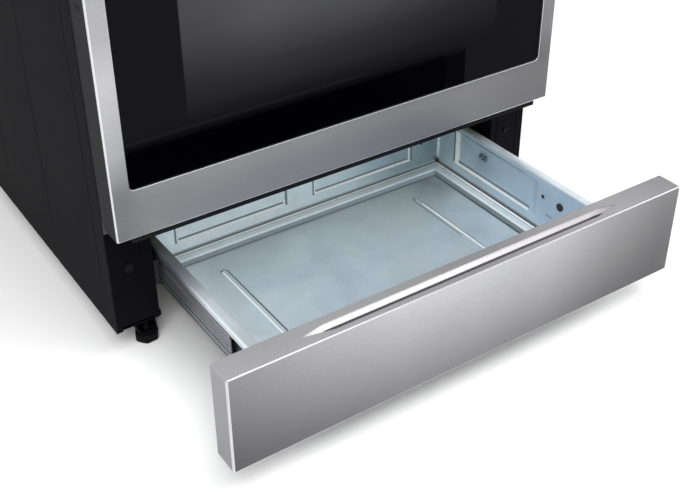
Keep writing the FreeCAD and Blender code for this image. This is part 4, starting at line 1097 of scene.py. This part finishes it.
# ============================================================= control knobs
def make_knobs():
    tilt = math.atan2(16.0, 82.0)
    ny, nz = -math.cos(tilt), math.sin(tilt)
    rx = Matrix.Rotation(math.atan2(-ny, nz), 4, "X")
    for i, x in enumerate((-285.0, -125.0, 125.0, 285.0)):
        F = Matrix.Translation(mm(x, -18 + YD, 823)) @ rx
        bm = bmesh.new()
        prof = [(0.0245, 0.0013), (0.0249, 0.0019), (0.0249, 0.0041), (0.0245, 0.0049), (0.0228, 0.0052)]
        lathe(bm, prof, F, n=64, mat=1, cap0=True, cap1=True)
        # fluted body: 32 shallow flats
        n = 64
        loops = []
        for r0, h in [(0.0223, 0.0050), (0.0223, 0.0062), (0.0216, 0.0090), (0.0210, 0.0135), (0.0204, 0.0185), (0.0199, 0.0222), (0.0193, 0.0240),
                      (0.0181, 0.0249), (0.0160, 0.0250), (0.0142, 0.0245), (0.0080, 0.0242), (0.0012, 0.0242)]:
            dep = 0.00035 if 0.0065 < h < 0.0230 and r0 > 0.0185 else 0.0
            loops.append([F @ Vector(((r0 - (dep if j % 2 else 0)) * math.cos(2 * math.pi * j / n),
                                      (r0 - (dep if j % 2 else 0)) * math.sin(2 * math.pi * j / n), h)) for j in range(n)])
        vs, _ = rings(bm, loops, True, 0)
        bm.faces.new(vs[-1]); bm.faces.new(list(reversed(vs[0])))
        # grip bar with a waist and a crowned top
        bl = []
        for k in range(13):
            t = -1 + 2 * k / 12
            y = 0.0193 * t
            w = 0.0054 - 0.0013 * (1 - t * t)
            top = 0.0330 - 0.0016 * t * t
            if abs(t) > 0.98:
                w *= 0.72; top -= 0.0010
            bl.append([F @ Vector(p) for p in ((-w, y, 0.0238), (-w, y, top - 0.0014), (-w * 0.78, y, top - 0.0003), (-w * 0.4, y, top),
                                               (w * 0.4, y, top), (w * 0.78, y, top - 0.0003), (w, y, top - 0.0014), (w, y, 0.0238))])
        vs, _ = rings(bm, bl, True, 0)
        bm.faces.new(list(reversed(vs[0]))); bm.faces.new(vs[-1])
        # inlaid pointer line, standing a hair proud
        for q in bmbox(bm, -0.00055, 0.00055, 0.0075, 0.0172, 0.0318, 0.03295, mat=2):
            q.co = F @ q.co
        ob = from_bm("knob_%d_turned" % (i + 1), bm, ["knob_metal", "black_plastic", "grey_plastic"], smooth=38)
        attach(ob, "knob_%d" % (i + 1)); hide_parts("burner_knob_%d" % (i + 1))


# =================================================================== burners
def make_burners():
    bm = bmesh.new()
    bc = bmesh.new()
    Z = 0.893
    for bx, by in ((-190, 150), (190, 150), (-190, 440), (190, 440)):
        F = Matrix.Translation(mm(bx, by + YD, 0)) 
        F = F @ Matrix.Translation((0, 0, Z))
        lathe(bm, [(0.0238, -0.0245), (0.0242, -0.0010), (0.0432, 0.0003), (0.0439, 0.0010), (0.0439, 0.0046), (0.0430, 0.0057),
                   (0.0372, 0.0060), (0.0366, 0.0068), (0.0352, 0.0072), (0.0318, 0.0074), (0.0312, 0.0166), (0.0304, 0.0169), (0.0050, 0.0169)],
              F, n=72)
        for k in range(36):
            a = 2 * math.pi * k / 36
            R = F @ Matrix.Rotation(a, 4, "Z")
            for q in bmbox(bm, 0.0308, 0.0346, -0.0014, 0.0014, 0.0070, 0.0167):
                q.co = R @ q.co
        # igniter by the head
        A = F @ Matrix.Translation((0.0405, 0.0, 0.0))
        lathe(bc, [(0.0022, 0.0055), (0.0022, 0.0120), (0.0017, 0.0126), (0.0008, 0.0130), (0.0008, 0.0150), (0.0004, 0.0153)], A, n=16, mat=1)
        lathe(bc, [(0.0345, 0.0170), (0.0367, 0.0174), (0.0370, 0.0182), (0.0370, 0.0206), (0.0366, 0.0213), (0.0350, 0.0224), (0.0330, 0.0232),
                   (0.0290, 0.02345), (0.0120, 0.0235), (0.0010, 0.0235)], F, n=72, mat=0)
    ob = from_bm("burner_heads_cast", bm, ["aluminium_cast"], smooth=35)
    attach(ob, "cabinet"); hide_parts("burner_bases")
    oc = from_bm("burner_caps_enamel", bc, ["enamel_matt", "grey_plastic"], smooth=35)
    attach(oc, "cabinet"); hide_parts("burner_caps")


# ============================================================== door handle
def make_handle():
    bm = bmesh.new()
    F = Matrix.Translation(mm(0, -48 + YD, 738)) @ Matrix.Rotation(math.radians(90), 4, "Y")
    R, H = 0.0140, 0.345
    prof = [(0.0010, -H), (0.0125, -H), (0.0136, -H + 0.0004), (R, -H + 0.0013)]
    prof += [(R, -H + 0.0090), (R - 0.0004, -H + 0.0093), (R - 0.0004, -H + 0.0100), (R, -H + 0.0103)]
    for k in range(1, 20):
        prof.append((R, -H + 0.0103 + (2 * H - 0.0206) * k / 20))
    prof += [(R, H - 0.0103), (R - 0.0004, H - 0.0100), (R - 0.0004, H - 0.0093), (R, H - 0.0090)]
    prof += [(R, H - 0.0013), (0.0136, H - 0.0004), (0.0125, H), (0.0010, H)]
    lathe(bm, prof, F, n=48)
    ob = from_bm("door_handle_turned", bm, ["handle_steel"], smooth=35)
    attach(ob, "door"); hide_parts("door_handle_bar")


# ============================================================ oven door gasket
def make_gasket():
    bm = bmesh.new()
    pts = rrect(-309, 309, 253, 710, 17, 8)
    # lengthen the straight runs into short steps so the braid shows
    full = []
    k = len(pts)
    for i in range(k):
        a, b = pts[i], pts[(i + 1) % k]
        L = math.hypot(b[0] - a[0], b[1] - a[1])
        n = max(1, int(L / 8))
        for j in range(n):
            full.append((a[0] + (b[0] - a[0]) * j / n, a[1] + (b[1] - a[1]) * j / n))
    P = [Vector(mm(x, 49.85 + YD, z)) for x, z in full]
    n = 12
    loops = []
    m = len(P)
    for i in range(m):
        t = (P[(i + 1) % m] - P[i - 1]).normalized()
        a = Vector((0, 1, 0))
        b = a.cross(t).normalized()
        w = 1.0 + 0.05 * (1 if i % 2 else -1)
        loops.append([P[i] + a * 0.00178 * math.cos(2 * math.pi * j / n) + b * 0.0028 * w * math.sin(2 * math.pi * j / n) for j in range(n)])
    vs = [[bm.verts.new(p) for p in L] for L in loops]
    for i in range(m):
        A, B = vs[i], vs[(i + 1) % m]
        for j in range(n):
            bm.faces.new((A[j], A[(j + 1) % n], B[(j + 1) % n], B[j]))
    ob = from_bm("door_gasket_braid", bm, ["gasket_rope"], smooth=60)
    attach(ob, "door"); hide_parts("door_gasket")


# ============================================================ levelling feet
def make_feet():
    for nm, fx, fy in (("front_left", -326, 75), ("front_right", 326, 75), ("rear_left", -326, 607), ("rear_right", 326, 607)):
        bm = bmesh.new()
        r = 0.033 / 2 / math.cos(math.radians(30))
        c = Vector(mm(fx, fy + YD, 0))
        rows_ = []
        for sc, z in ((0.80, 0.0), (0.90, 0.0004), (0.965, 0.0020), (0.985, 0.0040), (0.985, 0.0102), (0.955, 0.0122), (0.88, 0.0134), (0.62, 0.0139)):
            loop = []
            for i in range(6):
                for t in (-0.12, 0.0, 0.12):
                    a = math.radians(60 * i + 7 + 60 * t)
                    rr = r * sc * (0.972 if t else 0.985) 
                    loop.append(c + Vector((rr * math.cos(a), rr * math.sin(a), z)))
            rows_.append(loop)
        vs, _ = rings(bm, rows_, True, 0)
        bm.faces.new(list(reversed(vs[0]))); bm.faces.new(vs[-1])
        F = Matrix.Translation(c)
        prof = [(0.0098, 0.0134), (0.0098, 0.0145), (0.0060, 0.0146)]
        z = 0.0150
        while z < 0.0825:
            prof += [(0.0059, z), (0.0053, z + 0.00065)]
            z += 0.0013
        prof += [(0.0050, 0.0832), (0.0038, 0.0838)]
        lathe(bm, prof, F, n=24, mat=0)
        ob = from_bm("foot_%s_moulded" % nm, bm, ["foot_steel"], smooth=32)
        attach(ob, "foot_" + nm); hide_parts("leveling_foot_" + nm)


# ======================================================== telescoping members
def make_slides():
    """Rolled sections: race bulges top and bottom and fine grooves along the web; facets take painted highlight,
    painted mid-shade and painted shade copies of the zinc.
    """
    def rolled(bm, prof, y0, y1, side, mats):
        steps = [y0, y0 + 1.2] + [y0 + 1.2 + (y1 - y0 - 2.4) * k / 6 for k in range(1, 6)] + [y1 - 1.2, y1]
        loops = []
        for k, y in enumerate(steps):
            sh = 0.35 if k in (0, len(steps) - 1) else 0.0
            cx = sum(p[0] for p in prof) / len(prof); cz = sum(p[1] for p in prof) / len(prof)
            loops.append([Vector(mm(side * (p[0] + (sh if p[0] < cx else -sh)), y + YD, p[1] + (sh if p[1] < cz else -sh) * 0.6)) for p in prof])
        vs = [[bm.verts.new(p) for p in L] for L in loops]
        n = len(prof)
        for A, B in zip(vs, vs[1:]):
            for j in range(n):
                f = bm.faces.new((A[j], A[(j + 1) % n], B[(j + 1) % n], B[j]))
                f.material_index = mats[j]
        bm.faces.new(vs[0]); bm.faces.new(list(reversed(vs[-1])))

    # middle member: outer face at 300.2, open to the pan side
    prof, mats = [], []
    def add(x, z, m):
        prof.append((x, z)); mats.append(m)
    add(293.6, 139.1, 0); add(299.4, 139.1, 0); add(300.1, 138.3, 0); add(300.1, 135.6, 1)
    add(298.9, 134.9, 1); add(298.9, 133.2, 0); add(299.6, 132.8, 0); add(299.6, 131.2, 1); add(298.3, 130.6, 1); add(298.3, 128.8, 0)
    z = 128.4
    for k in range(6):
        add(299.3, z, 0); add(299.3, z - 2.2, 2); add(298.7, z - 2.5, 2); add(298.7, z - 3.2, 2)
        z -= 3.6
    add(299.9, 106.4, 0); add(300.1, 105.6, 0); add(300.1, 102.7, 1); add(299.4, 101.9, 1); add(293.6, 101.9, 1)
    add(293.6, 102.9, 1); add(296.7, 102.9, 1); add(297.0, 104.0, 1); add(297.0, 137.0, 1); add(296.7, 138.1, 1); add(293.6, 138.1, 1)
    bm = bmesh.new()
    rolled(bm, prof, -149, 265, -1, mats)
    rolled(bm, prof, -149, 265, 1, mats)
    # painted shade: a dark rimmed disc for the small pierced hole near the front end
    for sx in (-1, 1):
        F = Matrix.Translation(mm(sx * 299.1, -140 + YD, 118)) @ Matrix.Rotation(math.radians(90 * sx), 4, "Y")
        lathe(bm, [(0.0019, 0.0), (0.0019, 0.0003), (0.0015, 0.00035), (0.0014, 0.0001)], F, n=18, mat=3)
    ob = from_bm("slide_middle_rolled", bm, ["slide_painted_highlight", "slide_painted_shade", "slide_painted_midshade", "hole_painted_shade"], smooth=25)
    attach(ob, "slide_middle"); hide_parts("slide_middle_members")

    # drawer member: inner channel on the pan wall
    prof, mats = [], []
    add(290.5, 136.3, 0); add(294.3, 136.3, 0); add(294.9, 135.6, 0); add(294.9, 134.4, 1); add(294.2, 134.0, 1); add(292.0, 134.2, 1)
    add(291.6, 133.6, 1); add(291.6, 124.0, 1); add(292.4, 123.2, 1); add(292.4, 118.0, 1); add(291.6, 117.2, 1); add(291.6, 107.4, 1)
    add(292.0, 106.8, 0); add(294.2, 107.0, 0); add(294.9, 106.6, 0); add(294.9, 105.2, 0); add(294.3, 104.7, 0); add(290.5, 104.7, 0)
    bm = bmesh.new()
    rolled(bm, prof, -248, 160, -1, mats)
    rolled(bm, prof, -248, 160, 1, mats)
    for sx in (-1, 1):
        x0, x1 = sorted((sx * 286.4, sx * 290.6))
        bmbox(bm, *mm(x0, x1, -250.4 + YD, -246.9 + YD, 112.2, 129.8), mat=0)
    ob = from_bm("slide_drawer_rolled", bm, ["slide_painted_midshade", "slide_painted_shade"], smooth=25)
    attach(ob, "drawer"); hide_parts("slide_drawer_members")


for b_, n_, z_ in (("rack_lower", "oven_rack_lower", 340.0), ("rack_upper", "oven_rack_upper", 520.0)):
    make_rack(b_, n_, z_)
make_knobs()
make_burners()
make_handle()
make_gasket()
make_feet()
make_slides()

# ============================================================ floor and light
def plane(name, size, z):
    me = bpy.data.meshes.new(name)
    bm = bmesh.new()
    n = 8
    for i in range(n + 1):
        for j in range(n + 1):
            bm.verts.new(((i / n - 0.5) * size, (j / n - 0.5) * size, z))
    bm.verts.ensure_lookup_table()
    for i in range(n):
        for j in range(n):
            a = i * (n + 1) + j
            bm.faces.new((bm.verts[a], bm.verts[a + n + 1], bm.verts[a + n + 2], bm.verts[a + 1]))
    bm.to_mesh(me)
    bm.free()
    ob = bpy.data.objects.new(name, me)
    COL.objects.link(ob)
    return ob


floor = plane("floor", 30.0, -0.0005)
fm = Mat("floor_pale")
fn = fm.noise((1.5, 1.5, 1.5), detail=2)
fm.color(fm.ramp(fn, [(0.3, (0.955, 0.955, 0.955)), (0.7, (0.965, 0.965, 0.965))]))
fm.set(rough=0.9, spec=0.1)
floor.data.materials.append(fm.m)

world = bpy.data.worlds.new("studio")
bpy.context.scene.world = world
world.use_nodes = True
bg = world.node_tree.nodes["Background"]
bg.inputs[0].default_value = (1.0, 1.0, 1.0, 1)
bg.inputs[1].default_value = 0.75


def area(name, loc, target, size, power, size_y=None):
    l = bpy.data.lights.new(name, "AREA")
    l.shape = "RECTANGLE"
    l.size = size
    l.size_y = size_y or size
    l.energy = power
    ob = bpy.data.objects.new(name, l)
    ob.location = loc
    d = Vector(target) - Vector(loc)
    ob.rotation_mode = "QUATERNION"
    ob.rotation_quaternion = d.to_track_quat("-Z", "Y")
    COL.objects.link(ob)
    return ob


area("key", (-1.6, -2.2, 2.6), (0, -0.3, 0.3), 1.6, 60)
area("top", (0.3, -1.4, 2.8), (0, -0.4, 0.1), 1.8, 45)
area("fill", (2.6, -1.6, 1.4), (0, -0.3, 0.4), 1.6, 25)

# ===================================================================== camera
cam_d = bpy.data.cameras.new("camera")
cam = bpy.data.objects.new("camera", cam_d)
COL.objects.link(cam)
CX, CY, CZ = -0.789198, -1.150378 + YF, 1.037168
yaw, pitch, roll = 0.586837, 0.570195, -0.008835
f_px, pcx, pcy = 1092.9886, 342.0, 212.0
d = Vector((math.sin(yaw) * math.cos(pitch), math.cos(yaw) * math.cos(pitch), -math.sin(pitch)))
r = Vector((math.cos(yaw), -math.sin(yaw), 0.0))
u = r.cross(d)
r2 = r * math.cos(roll) + u * math.sin(roll)
u2 = -r * math.sin(roll) + u * math.cos(roll)
rot = Matrix((r2, u2, -d)).transposed()
cam.matrix_world = Matrix.Translation((CX, CY, CZ)) @ rot.to_4x4()
cam_d.sensor_width = 36.0
cam_d.lens = f_px / 684.0 * 36.0
cam_d.shift_x = 0.5 - pcx / 684.0
cam_d.shift_y = (pcy - 246.0) / 684.0
cam_d.clip_start, cam_d.clip_end = 0.05, 60.0
bpy.context.scene.camera = cam
bpy.context.scene.view_settings.view_transform = "Standard"
